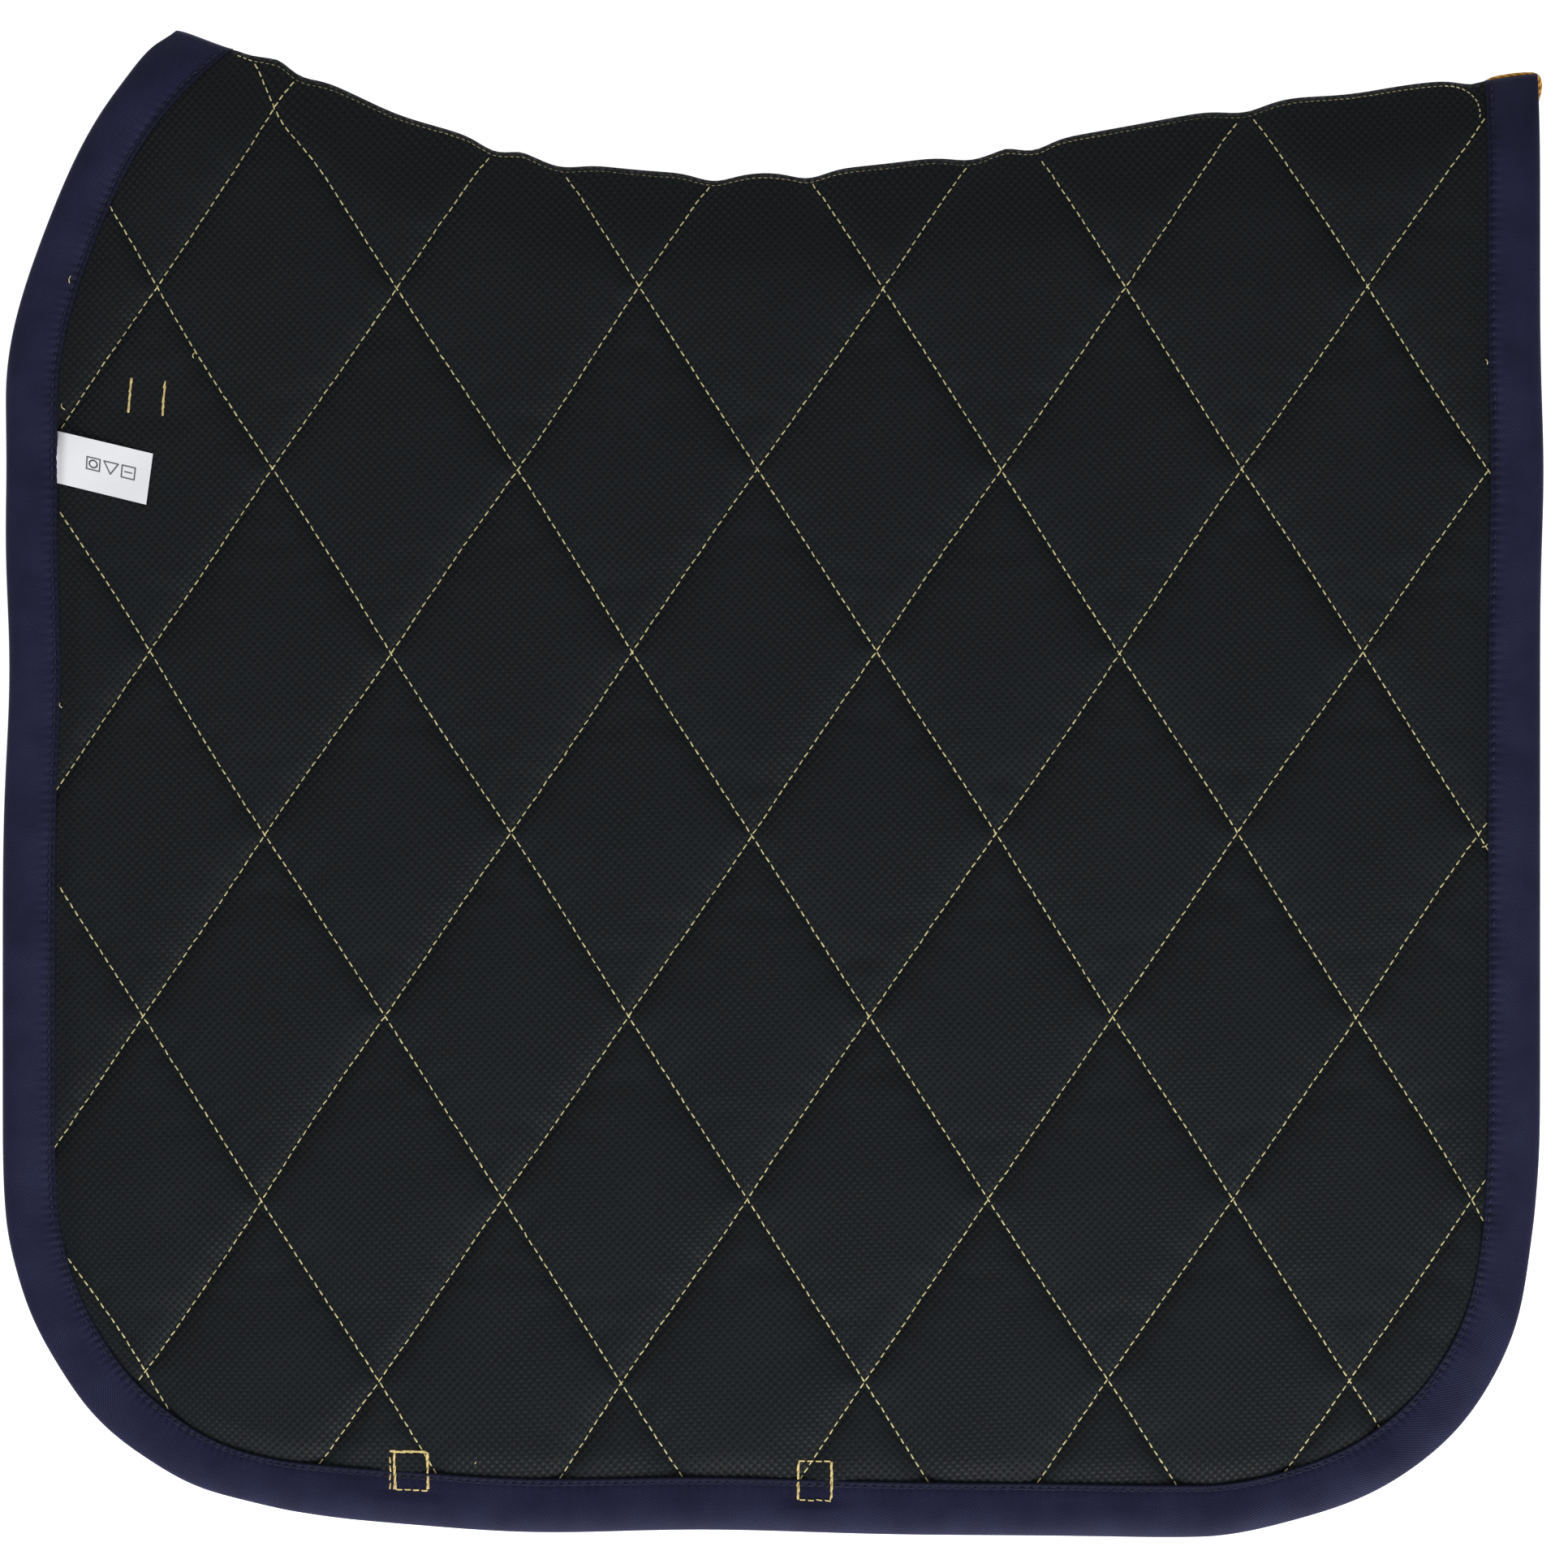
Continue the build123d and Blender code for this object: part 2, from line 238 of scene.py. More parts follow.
def quilt_line_points(step):
    """Points along every quilting line, each with its direction: (x, y, direction x, direction y)."""
    rows = []
    for lean in (-LEAN, LEAN):
        turn = QUILT_TILT + lean
        along = np.array([-math.sin(turn), math.cos(turn)])
        for k in range(-LINES_EACH_WAY, LINES_EACH_WAY + 1):
            start = QUILT_CENTRE + np.array([k * DIAMOND_W, 0])
            t = np.arange(-LINE_REACH, LINE_REACH, step)
            marked = start + t[:, None] * along
            dx, dy = quilt_drift(marked[:, 0], marked[:, 1])
            sewn = marked - np.stack([dx, dy], 1)
            way = np.gradient(sewn, axis=0)
            way /= np.linalg.norm(way, axis=1)[:, None]
            inside = (edge_distance(*sewn.T) > 0) & (spine_distance(*sewn.T) > 0)
            if inside.any():
                rows.append(np.hstack([sewn[inside], way[inside]]))
    return rows


quilt_rows = quilt_line_points(STITCH)
print(len(quilt_rows), "quilting lines,", sum(map(len, quilt_rows)), "stitches a side")

# %% [markdown]
# ## A net of points for the cloth
# Cloth that is quilted bends sharply at the sewn lines and hardly at all between them. A plain grid would
# smear those lines, so the net has close rows along each line and a wider honeycomb of points elsewhere,
# and a Delaunay triangulation joins them. Near the spine the rows are close again for the rolled edge.

# %% Lay out the net and triangulate it
UNDER_BINDING = 5 * MM  # how far the cloth runs on under the binding
ROLL_ROWS = np.array([0.35, 0.9, 1.8, 2.9, 4.4, 6.6, 9.5]) * MM
HALF_SPREAD = 310 * MM  # the honeycomb is laid over this much each way, and trimmed to the flank


def thinned(candidates):
    """Takes points in order of rank and leaves out any that is too near one already taken."""
    cell = 2 * MM
    taken, kept = {}, []
    for x, y, room in candidates:
        i, j, reach = int(x // cell), int(y // cell), int(room // cell) + 1
        near = (taken.get((a, b), ()) for a in range(i - reach, i + reach + 1)
                for b in range(j - reach, j + reach + 1))
        if all((x - u) ** 2 + (y - v) ** 2 >= room * room for group in near for u, v in group):
            taken.setdefault((i, j), []).append((x, y))
            kept.append((x, y))
    return np.array(kept)


def cloth_net(gap, line_offsets, roll_rows, rim_step, spine_step, spine_inset=0.0):
    """Points and triangles of one flank's cloth laid flat: the rim first, then the spine from the rear."""
    edge = BINDING_W - UNDER_BINDING
    rim = (edge_points + edge_normals * edge)[::rim_step]
    rim = rim[spine_distance(*rim.T) > spine_inset + 0.4 * spine_step]
    x_front, x_rear = rim[0][0], rim[-1][0]
    for _ in range(20):  # where the rim meets the spine at the wither
        x_front -= edge_distance(x_front, spine_y(np.array(x_front)) - spine_inset) - edge
    xs = np.linspace(x_rear, x_front, round((x_rear - x_front) / spine_step))
    border = np.vstack([rim, np.stack([xs, spine_y(xs) - spine_inset], 1)])
    ranked = []

    def offer(points, room):
        inside = (edge_distance(*points.T) > edge + 0.7 * room)
        inside &= spine_distance(*points.T) > spine_inset + 0.2 * room
        ranked.extend((px, py, room) for px, py in points[inside])

    for row in roll_rows:
        step = max(2.2 * MM, 0.45 * row)
        xs = np.arange(x_front, x_rear, step)
        offer(np.stack([xs, spine_y(xs) - row], 1), min(0.8 * MM, 0.55 * step))
    for offset, room in line_offsets:
        for row in quilt_rows:
            across = np.stack([-row[:, 3], row[:, 2]], 1) * offset
            stagger = row[:, 2:] * STITCH / 2 * (0 < offset < 2 * MM)
            for sign in ((1,) if offset == 0 else (1, -1)):
                offer(row[:, :2] + stagger + sign * across, room)
    for k, y in enumerate(np.arange(-HALF_SPREAD, HALF_SPREAD, gap * math.sqrt(3) / 2)):
        xs = np.arange(-HALF_SPREAD, HALF_SPREAD, gap) + (k % 2) * gap / 2
        offer(np.stack([xs, np.full_like(xs, y)], 1), 0.72 * gap)
    ring = list(range(len(border)))
    points = [Vector(p) for p in (*border, *thinned(ranked))]
    made = delaunay_2d_cdt(points, [], [ring], 1, 1e-7)
    flat = np.array([tuple(v) for v in made[0]])
    assert np.allclose(flat[:len(border)], border, atol=1e-5)
    return flat, np.array([f for f in made[2] if len(f) == 3]), len(rim), len(border)


net, net_faces, rim_count, border_count = cloth_net(
    3.7 * MM, ((0.0, 1.0 * MM), (1.25 * MM, 1.0 * MM), (2.8 * MM, 1.5 * MM)), ROLL_ROWS, 2, 2.6 * MM)
print("net:", len(net), "points,", len(net_faces), "triangles")

# %% [markdown]
# ## Puffs from a small cloth simulation
# Quilting traps the padding in pockets: the stitched lines hold the cloth down and the foam lifts it between
# them. So we pin a slightly slack sheet along every line and at its rim, and blow it up gently. The slack
# makes the small gathers beside the seams. The simulation works at ten times size, where it is steadier,
# and gives a shape from 0 at the seams to about 1 at the crowns, which each layer then uses at its height.

# %% Blow up the pinned sheet
SIM_SCALE = 10
SIM_FRAMES = 20
PUFF_FULLNESS = 0.6  # below 1, the pockets are fuller beside their seams


def gathered_dome(x, y):
    """A quick stand-in for the simulated puffs, from the distances to the lines alone."""
    a, b = line_coordinates(x, y)
    rim = edge_distance(x, y) - BINDING_W + UNDER_BINDING
    soft = [1 - np.exp(-np.maximum(d, 0) / (9 * MM)) for d in (a, b, rim, spine_distance(x, y))]
    return np.prod(soft, axis=0)


def simulated_puffs():
    """Heights of the quilted sheet at the points of the net, from 0 to about 1."""
    flat, faces, _, rim_and_spine = cloth_net(4.7 * MM, ((0.0, 3.0 * MM),), (), 2, 4.5 * MM)
    a, b = line_coordinates(*flat.T)
    pinned = np.minimum(a, b) < 0.6 * MM
    pinned[:rim_and_spine] = True
    mesh = bpy.data.meshes.new("puffs")
    start = np.hstack([flat, 0.2 * MM * gathered_dome(*flat.T)[:, None]]) * SIM_SCALE
    mesh.from_pydata(start.tolist(), [], faces.tolist())
    sheet = bpy.data.objects.new("puffs", mesh)
    bpy.context.scene.collection.objects.link(sheet)
    held = sheet.vertex_groups.new(name="sewn")
    held.add([int(i) for i in np.flatnonzero(pinned)], 1.0, "REPLACE")
    cloth = sheet.modifiers.new("cloth", "CLOTH")
    cloth.point_cache.frame_start, cloth.point_cache.frame_end = 1, SIM_FRAMES
    s = cloth.settings
    s.quality, s.mass, s.air_damping = 5, 0.3, 2.0
    s.tension_stiffness = s.compression_stiffness = s.shear_stiffness = 12
    s.bending_stiffness = 0.4
    s.vertex_group_mass = "sewn"
    s.shrink_min = s.shrink_max = -0.035
    s.use_pressure, s.uniform_pressure_force = True, 4.0
    s.effector_weights.gravity = 0
    cloth.collision_settings.use_collision = False
    for f in range(1, SIM_FRAMES + 1):
        bpy.context.scene.frame_set(f)
    blown = sheet.evaluated_get(bpy.context.evaluated_depsgraph_get())
    points = np.array([tuple(v.co) for v in blown.data.vertices]) / SIM_SCALE
    bpy.context.scene.frame_set(1)
    bpy.data.objects.remove(sheet)
    lift = points[:, 2]
    print(f"puffs: {lift.max() / MM:.1f} mm at most, {np.percentile(lift, 95) / MM:.1f} mm typical crown")
    tree = BVHTree.FromPolygons(points.tolist(), faces.tolist())
    found = np.zeros(len(net))
    for i, (x, y) in enumerate(net):
        hit = tree.ray_cast(Vector((x, y, 1)), Vector((0, 0, -1)))[0]
        found[i] = hit.z if hit else 0
    return np.clip(found / np.percentile(lift, 97), 0, 1.12) ** PUFF_FULLNESS


net_puff = simulated_puffs()
print("mean puff", round(float(net_puff.mean()), 3))

# %% [markdown]
# ## From the flat cut to the folded pad
# Each layer is laid out flat at its own level and then folded in: towards the spine the flank thins to a
# pinched wedge, because the seam there is sewn through and the two flanks bend round it. The lining lies on
# the outside of the bend and the shell on the inside, so the shell's edge sits a little lower.

# %% Heights of the layers
LINING_SEAM, LINING_CROWN = LINING_LEVEL - 2.6 * MM, LINING_LEVEL + 0.1 * MM
SHELL_SEAM, SHELL_CROWN = BINDING_INNER_LEVEL - 0.6 * MM, SHELL_LEVEL - 0.3 * MM
LINING_LIP, SHELL_LIP, LIP_REACH = 1.7 * MM, 1.2 * MM, 1.8 * MM
NEAR_SPINE = 38 * MM  # the puffs fade out over this distance from the spine
WEDGE_REACH, SHELL_SET_IN, SET_IN_REACH = 48 * MM, 3 * MM, 14 * MM
WITHER_TIP = -235.5 * MM


def smooth(t):
    t = np.clip(t, 0, 1)
    return t * t * (3 - 2 * t)


def folded(x, y, height):
    """The place in the folded pad of a point at this height of the flat cut: (x, y, height)."""
    s = np.maximum(spine_distance(x, y), 0)
    outer = np.clip((height - BINDING_INNER_LEVEL) / (LINING_SEAM - BINDING_INNER_LEVEL), 0, 1)
    wedge = 1 - (1 - np.clip(s / WEDGE_REACH, 0, 1)) ** 2.6
    roll = np.sqrt(1 - (1 - np.clip(s / LIP_REACH, 0, 1)) ** 2)
    lining = (LINING_LIP * roll + (LINING_SEAM - LINING_LIP) * wedge) / LINING_SEAM
    shell = (SHELL_LIP * roll + (SHELL_SEAM - SHELL_LIP) * wedge) / SHELL_SEAM
    set_in = SHELL_SET_IN * (1 - outer) * (1 - np.clip(s / SET_IN_REACH, 0, 1)) ** 1.5
    return x, y - set_in, height * (shell + (lining - shell) * outer)


def spine_nips(x, y):
    """The spine's edge bulges between the quilting lines, is nipped in where they cross it, and is round at
    the wither's tip."""
    a, b = line_coordinates(x, spine_y(x))
    bulge = 1 - np.exp(-(np.minimum(a, b) / (8 * MM)) ** 2)
    bound = smooth((edge_distance(x, spine_y(x)) - BINDING_W) / (6 * MM))
    tip = 0.9 * np.exp(-((x - WITHER_TIP) / (4 * MM)) ** 2)
    near_spine = np.exp(-(np.maximum(spine_distance(x, y), 0) / (9 * MM)) ** 2)
    return ((2.9 * bulge - 0.7) * bound - tip) * MM * near_spine


def near_lines(x, y, width):
    a, b = line_coordinates(x, y)
    return np.exp(-(np.minimum(a, b) / width) ** 2)


# %% Seams that press the layers flat
tack_low, tack_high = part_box("left_strap_bar_tacks")
BOX_SEAMS = ((*pattern_place(-141.5 * MM, -267.9 * MM), 14.7 * MM, 14.5 * MM),
             (*pattern_place(16.9 * MM, -271.7 * MM), 12.9 * MM, 15.0 * MM))
TACKS = (pattern_place(-250.2 * MM, 151.6 * MM), pattern_place(-237.0 * MM, 150.4 * MM))
TACK_LENGTH = tack_high.y - tack_low.y


def pressed(x, y):
    """How strongly the box seams and the bar tacks press the flank, from 0 to 1."""
    tack_x, tack_y = (tack_low.x + tack_high.x) / 2, (tack_low.y + tack_high.y) / 2
    places = [(cx, cy, w / 2, h / 2) for cx, cy, w, h in BOX_SEAMS]
    places.append((tack_x, tack_y, (tack_high.x - tack_low.x) / 2 + 2 * MM, TACK_LENGTH / 2))
    total = np.zeros_like(x)
    for cx, cy, half_w, half_h in places:
        away = np.hypot(np.maximum(np.abs(x - cx) - half_w, 0), np.maximum(np.abs(y - cy) - half_h, 0))
        total = np.maximum(total, np.exp(-(away / (6 * MM)) ** 2))
    return total


def lining_height(x, y, puff):
    s = spine_distance(x, y)
    inside = smooth((edge_distance(x, y) - BINDING_W + 1 * MM) / (9 * MM))
    fade = smooth(s / NEAR_SPINE) * (1 - 0.55 * pressed(x, y)) * inside
    gathers = 0.9 * MM * ripples(x, y, 8 * MM, 21, 14) * near_lines(x, y, 8 * MM) * puff
    groove = (0.7 * near_lines(x, y, 1.4 * MM) + 0.7 * near_lines(x, y, 3.5 * MM)) * MM * smooth(s / (6 * MM))
    soft = 0.35 * MM * ripples(x, y, 0.05, 22) * smooth(s / (30 * MM))
    seam = 0.3 * MM * np.exp(-((s - 2.2 * MM) / (0.8 * MM)) ** 2)
    rise = (LINING_CROWN - LINING_SEAM) * puff * fade
    tucked = 0.4 * MM * (1 - inside)
    return LINING_SEAM + rise + gathers * fade + soft * puff * inside - groove - seam - tucked


def shell_height(x, y, puff):
    fade = smooth(spine_distance(x, y) / NEAR_SPINE)
    groove = 0.3 * MM * near_lines(x, y, 1.3 * MM) * fade
    return SHELL_SEAM + groove - (SHELL_SEAM - SHELL_CROWN) * puff * fade


def surface_sampler(heights):
    """Looks up a sheet's height at any points, from the net's triangles."""
    tree = BVHTree.FromPolygons(np.hstack([net, heights[:, None]]).tolist(), net_faces.tolist())

    def look_up(points):
        found = []
        for x, y in points:
            hit = tree.ray_cast(Vector((x, y, 1)), Vector((0, 0, -1)))[0]
            found.append(hit.z if hit else np.nan)
        return np.array(found)

    return look_up


lining_net = lining_height(*net.T, net_puff)
shell_net = shell_height(*net.T, net_puff)
lining_at, shell_at = surface_sampler(lining_net), surface_sampler(shell_net)
print(f"lining {lining_net.min() / MM:.1f} to {lining_net.max() / MM:.1f} mm from the fold plane")

# %% [markdown]
# ## Small tools for making the pieces
# The two flanks mirror each other about the fold plane, so each layer is made once as points with a height
# from that plane and placed on both sides. Every piece keeps its flat coordinates as an attribute: the weave
# is drawn from those, so that it follows the cloth through every fold and curve.

# %% Placing points and making objects
OFF, NEAR = 1, -1  # the upper and the lower flank
REST_BODY = {OFF: "right_flank", NEAR: "left_flank"}
SIDE_NAME = {OFF: "right", NEAR: "left"}


def placed(x, y, height, side):
    """Points in the row frame from flat coordinates and a height above the fold plane."""
    dx, dy = settling(x, y)
    fx, fy, fh = folded(x, y, height)
    return np.stack([fx + dx, fy + dy + spine_nips(x, y), FOLD_Z + side * fh], 1)


def cloth_object(name, points, faces, material, flat=None):
    mesh = bpy.data.meshes.new(name)
    mesh.from_pydata(points.tolist(), [], faces if isinstance(faces, list) else faces.tolist())
    mesh.shade_smooth()
    if flat is not None:
        marks = np.zeros((len(points), 3))
        marks[:, :flat.shape[1]] = flat
        mesh.attributes.new("flat", "FLOAT_VECTOR", "POINT").data.foreach_set("vector", marks.ravel())
    mesh.materials.append(material)
    obj = bpy.data.objects.new(name, mesh)
    bpy.context.scene.collection.objects.link(obj)
    return obj


def bend_over_fold(obj):
    """Bakes the piece's place into its points; they were already bent over the spine when they were placed.
    """
    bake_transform(obj)


def both(*names):
    return [f"{side}_{name}" for side in ("left", "right") for name in names]


def two_flank_sheet(name, height, faces_out, material):
    """One cloth over both flanks, joined along the spine's fold."""
    spine = np.arange(rim_count, border_count)
    off, near = (placed(*net.T, height, side) for side in (OFF, NEAR))
    off[spine, 2] = FOLD_Z
    kept = np.setdiff1d(np.arange(len(net)), spine)
    index = np.arange(len(net))
    index[kept] = len(net) + np.arange(len(kept))
    upper = net_faces if faces_out else net_faces[:, ::-1]
    faces = np.vstack([upper, index[net_faces if not faces_out else net_faces[:, ::-1]]])
    flat = np.vstack([net, net[kept]])
    side = np.r_[np.zeros(len(net)), np.ones(len(kept))]
    return cloth_object(name, np.vstack([off, near[kept]]), faces, material, np.hstack([flat, side[:, None]]))


# %% Faces of a grid, a swept tube and a batch of stitches
def grid_faces(rows, wide, ring=True, loop=False):
    """Faces of a grid of points. Each row may close into a ring, and the last row may join the first."""
    i, j = np.meshgrid(np.arange(rows - (not loop)), np.arange(wide - (not ring)), indexing="ij")
    after_i, after_j = (i + 1) % rows, (j + 1) % wide
    corners = (i * wide + j, i * wide + after_j, after_i * wide + after_j, after_i * wide + j)
    return np.stack(corners, -1).reshape(-1, 4)


TURNED = [0, 3, 2, 1]  # the corners of a face in the order that turns it over


def tube(path, radius, around=10):
    """Points and faces of a round tube along a path; the radius may differ from point to point."""
    path = np.asarray(path, float)
    radius = np.broadcast_to(radius, len(path))
    way = np.gradient(path, axis=0)
    way /= np.linalg.norm(way, axis=1)[:, None]
    side = np.cross(way, [0, 0, 1.0])
    side /= np.maximum(np.linalg.norm(side, axis=1)[:, None], 1e-9)
    up = np.cross(side, way)
    turn = np.linspace(0, 2 * math.pi, around, endpoint=False)
    ring = side[:, None] * np.cos(turn)[None, :, None] + up[:, None] * np.sin(turn)[None, :, None]
    points = (path[:, None] + ring * radius[:, None, None]).reshape(-1, 3)
    faces = grid_faces(len(path), around).tolist()
    faces += [list(range(around))[::-1], list(range(len(points) - around, len(points)))]
    flat = np.stack([np.repeat(np.r_[0, np.cumsum(np.linalg.norm(np.diff(path, axis=0), axis=1))], around),
                     np.tile(turn, len(path))], 1)
    return points, faces, flat


THREAD_W, THREAD_RINGS, THREAD_SIDES = 0.58 * MM, 4, 5


def stitches(name, starts, ends, outward, material, width=THREAD_W, sink=0.3 * MM, seed=5):
    """Separate stitches, each a short thread that comes up out of the cloth and goes back in."""
    dice = np.random.default_rng(seed)
    n = len(starts)
    way = ends - starts
    length = np.linalg.norm(way, axis=1)[:, None]
    way = way / length
    outward = np.broadcast_to(outward, way.shape)
    side = np.cross(way, outward)
    side /= np.linalg.norm(side, axis=1)[:, None]
    slant = side * dice.normal(0, 0.10 * width, (n, 1)) + side * 0.10 * width
    width = width * dice.uniform(0.88, 1.12, (n, 1))
    rings = []
    for t, lift, girth in ((0.0, -1.0, 0.72), (0.16, 0.1, 1.0), (0.84, 0.1, 1.0), (1.0, -1.0, 0.72)):
        centre = starts + way * length * t + slant * (2 * t - 1)
        centre = centre + outward * (lift * sink if lift < 0 else lift * width)
        for k in range(THREAD_SIDES):
            a = 2 * math.pi * (k + 0.5) / THREAD_SIDES
            rings.append(centre + side * (math.cos(a) * width / 2 * girth)
                         + outward * (math.sin(a) * width * 0.42 * girth))
    points = np.stack(rings, 1).reshape(-1, 3)
    faces, per = [], THREAD_RINGS * THREAD_SIDES
    for r in range(THREAD_RINGS - 1):
        for k in range(THREAD_SIDES):
            a, b = r * THREAD_SIDES + k, r * THREAD_SIDES + (k + 1) % THREAD_SIDES
            faces.append([a, b, b + THREAD_SIDES, a + THREAD_SIDES])
    body = (np.array(faces)[None] + np.arange(n)[:, None, None] * per).reshape(-1, 4).tolist()
    cap = [list(range(THREAD_SIDES))[::-1], list(range(per - THREAD_SIDES, per))]
    body += (np.array(cap)[None] + np.arange(n)[:, None, None] * per).reshape(-1, THREAD_SIDES).tolist()
    along = np.tile(np.repeat([0.0, 0.16, 0.84, 1.0], THREAD_SIDES), n) * np.repeat(length[:, 0], per)
    flat = np.stack([along, np.tile(np.arange(THREAD_SIDES), n * THREAD_RINGS) / THREAD_SIDES,
                     np.repeat(dice.uniform(0, 1, n), per)], 1)
    return cloth_object(name, points, body, material, flat)


def dashes(points, pitch, dash):
    """Start and end of every dash along a polyline."""
    run = np.r_[0, np.cumsum(np.linalg.norm(np.diff(points, axis=0), axis=1))]
    count = int((run[-1] - dash) // pitch) + 1
    first = np.arange(count) * pitch
    at = [np.stack([np.interp(t, run, points[:, k]) for k in range(points.shape[1])], 1)
          for t in (first, first + dash)]
    return at


def sewn_rows(name, runs, pitch, dash, material, **look):
    """Stitches along every run, each given as its points and the way its stitches face."""
    starts, ends, ups = [], [], []
    for points, outward in runs:
        a, b = dashes(points, pitch, dash)
        starts.append(a)
        ends.append(b)
        ups.append(np.tile(outward, (len(a), 1)))
    return stitches(name, np.vstack(starts), np.vstack(ends), np.vstack(ups), material, **look)


# %% [markdown]
# ## Finishes
# The lining is a fine knitted honeycomb mesh, nearly black, that takes a faint grey light on its ribs. The
# binding and straps are navy: the binding a close twill, the straps a ribbed webbing. The threads are
# lustrous, pale gold on the quilting and a deeper gold on the box seams. The patterns are drawn with waves
# over the flat coordinates, because a real weave is regular; noise only varies its shade and wear.

# %% A short hand for shader nodes
class Finish:
    """A material with a Principled shader, and a few verbs for wiring nodes to it."""

    def __init__(self, name, colour, roughness, **values):
        self.material = bpy.data.materials.new(name)
        self.material.use_nodes = True
        self.nodes, self.links = self.material.node_tree.nodes, self.material.node_tree.links
        self.shader = self.nodes["Principled BSDF"]
        self.shader.inputs["Base Color"].default_value = (*colour, 1)
        self.shader.inputs["Roughness"].default_value = roughness
        self.shader.inputs["Specular IOR Level"].default_value = 0.16
        for key, value in values.items():
            self.shader.inputs[key.replace("_", " ")].default_value = value

    def add(self, kind, inputs=(), **settings):
        node = self.nodes.new(kind)
        for key, value in settings.items():
            setattr(node, key, value)
        for key, value in dict(inputs).items():
            if isinstance(value, bpy.types.NodeSocket):
                self.links.new(value, node.inputs[key])
            else:
                node.inputs[key].default_value = value
        return node

    def math(self, operation, a, b=0.0):
        return self.add("ShaderNodeMath", {0: a, 1: b}, operation=operation).outputs[0]

    def flat(self):
        return self.add("ShaderNodeAttribute", attribute_name="flat").outputs["Vector"]

    def wave(self, vector, period, angle):
        """A cosine of the flat coordinates, from -1 to 1, with this period in metres."""
        k = 2 * math.pi / period
        way = (k * math.cos(angle), k * math.sin(angle), 0)
        dot = self.add("ShaderNodeVectorMath", {0: vector, 1: way}, operation="DOT_PRODUCT").outputs["Value"]
        return self.math("COSINE", dot)

    def noise(self, vector, size, detail=2.0):
        values = {"Vector": vector, "Scale": 1 / size, "Detail": detail}
        return self.add("ShaderNodeTexNoise", values).outputs["Fac"]

    def ranged(self, value, low, high, to_low, to_high):
        values = {"Value": value, "From Min": low, "From Max": high, "To Min": to_low, "To Max": to_high}
        return self.add("ShaderNodeMapRange", values).outputs["Result"]

    def mixed(self, factor, a, b):
        node = self.add("ShaderNodeMix", data_type="RGBA")
        for socket, value in ((node.inputs["Factor"], factor), (node.inputs[6], a), (node.inputs[7], b)):
            if isinstance(value, bpy.types.NodeSocket):
                self.links.new(value, socket)
            else:
                socket.default_value = (*value, 1) if isinstance(value, tuple) else value
        return node.outputs[2]

    def colour(self, value):
        self.links.new(value, self.shader.inputs["Base Color"])

    def rough(self, value):
        self.links.new(value, self.shader.inputs["Roughness"])

    def bump(self, height, distance, strength=1.0):
        values = {"Height": height, "Distance": distance, "Strength": strength}
        node = self.add("ShaderNodeBump", values)
        self.links.new(node.outputs["Normal"], self.shader.inputs["Normal"])


# %% Mesh lining
MESH_WAVES = ((2.40 * MM, 47, 1.0), (2.27 * MM, 137, 1.0), (1.66 * MM, 92, 0.5), (1.63 * MM, 178, 0.4))


def lining_finish():
    f = Finish("lining_mesh", (0.012, 0.0145, 0.016), 0.62, Sheen_Weight=0.02, Sheen_Roughness=0.4)
    flat = f.flat()
    stretch = f.math("MULTIPLY", f.noise(flat, 0.03), 0.5 * MM)
    drawn = f.add("ShaderNodeVectorMath", {0: flat, 1: stretch}, operation="ADD").outputs[0]
    knots = None
    for period, angle, share in MESH_WAVES:
        wave = f.math("MULTIPLY", f.wave(drawn, period, math.radians(angle)), share)
        knots = wave if knots is None else f.math("ADD", knots, wave)
    ribs = f.ranged(knots, -1.2, 2.2, 0.0, 1.0)
    cloudy = f.noise(flat, 0.09, 3.0)
    fluff = f.ranged(f.noise(flat, 1.1 * MM, 3.0), 0.25, 0.75, 0.35, 1.3)
    tint = f.mixed(cloudy, (0.0086, 0.0118, 0.0148), (0.0140, 0.0172, 0.0200))
    f.colour(f.mixed(f.math("MULTIPLY", ribs, fluff), (0.0050, 0.0064, 0.0078), tint))
    f.rough(f.ranged(ribs, 0, 1, 0.85, 0.5))
    f.bump(ribs, 0.22 * MM, 0.65)
    return f.material


# %% Twill binding, webbing and tape
def navy_finish(name, twill_period, twill_angle, depth, light, dark, hem=None):
    """Navy cotton. Beyond the hem's distance from the middle of the tape its colour is darkened: painted
    shade for the turned-in strip, which slopes away from the light.
    """
    f = Finish(name, dark, 0.66, Sheen_Weight=0.22, Sheen_Roughness=0.3)
    f.shader.inputs["Sheen Tint"].default_value = (0.55, 0.6, 1.0, 1)
    flat = f.flat()
    wale = f.wave(flat, twill_period, twill_angle)
    weft = f.wave(flat, twill_period * 0.8, twill_angle + math.radians(70))
    weave = f.math("ADD", wale, f.math("MULTIPLY", weft, 0.4))
    worn = f.noise(flat, 0.02, 6.0)
    nap = f.noise(flat, 0.8 * MM, 3.0)
    ribs = f.ranged(weave, -1.2, 1.2, 0, 1)
    shade = f.math("MULTIPLY", f.math("MULTIPLY", ribs, f.ranged(worn, 0.3, 0.7, 0.25, 1.35)),
                   f.ranged(nap, 0.25, 0.75, 0.6, 1.4))
    if hem is not None:
        # Painted shade: past the hem the twill is darkened towards black, where the turned-in strip slopes
        # away from the light.
        across = f.math("ABSOLUTE", f.add("ShaderNodeSeparateXYZ", {0: flat}).outputs[1])
        shade = f.math("MULTIPLY", shade, f.ranged(across, hem - 1.2 * MM, hem + 0.8 * MM, 1.0, -0.3))
    f.colour(f.mixed(shade, dark, light))
    f.bump(f.math("ADD", ribs, f.math("MULTIPLY", f.math("ADD", worn, nap), 1.5)), depth, 0.8)
    return f.material


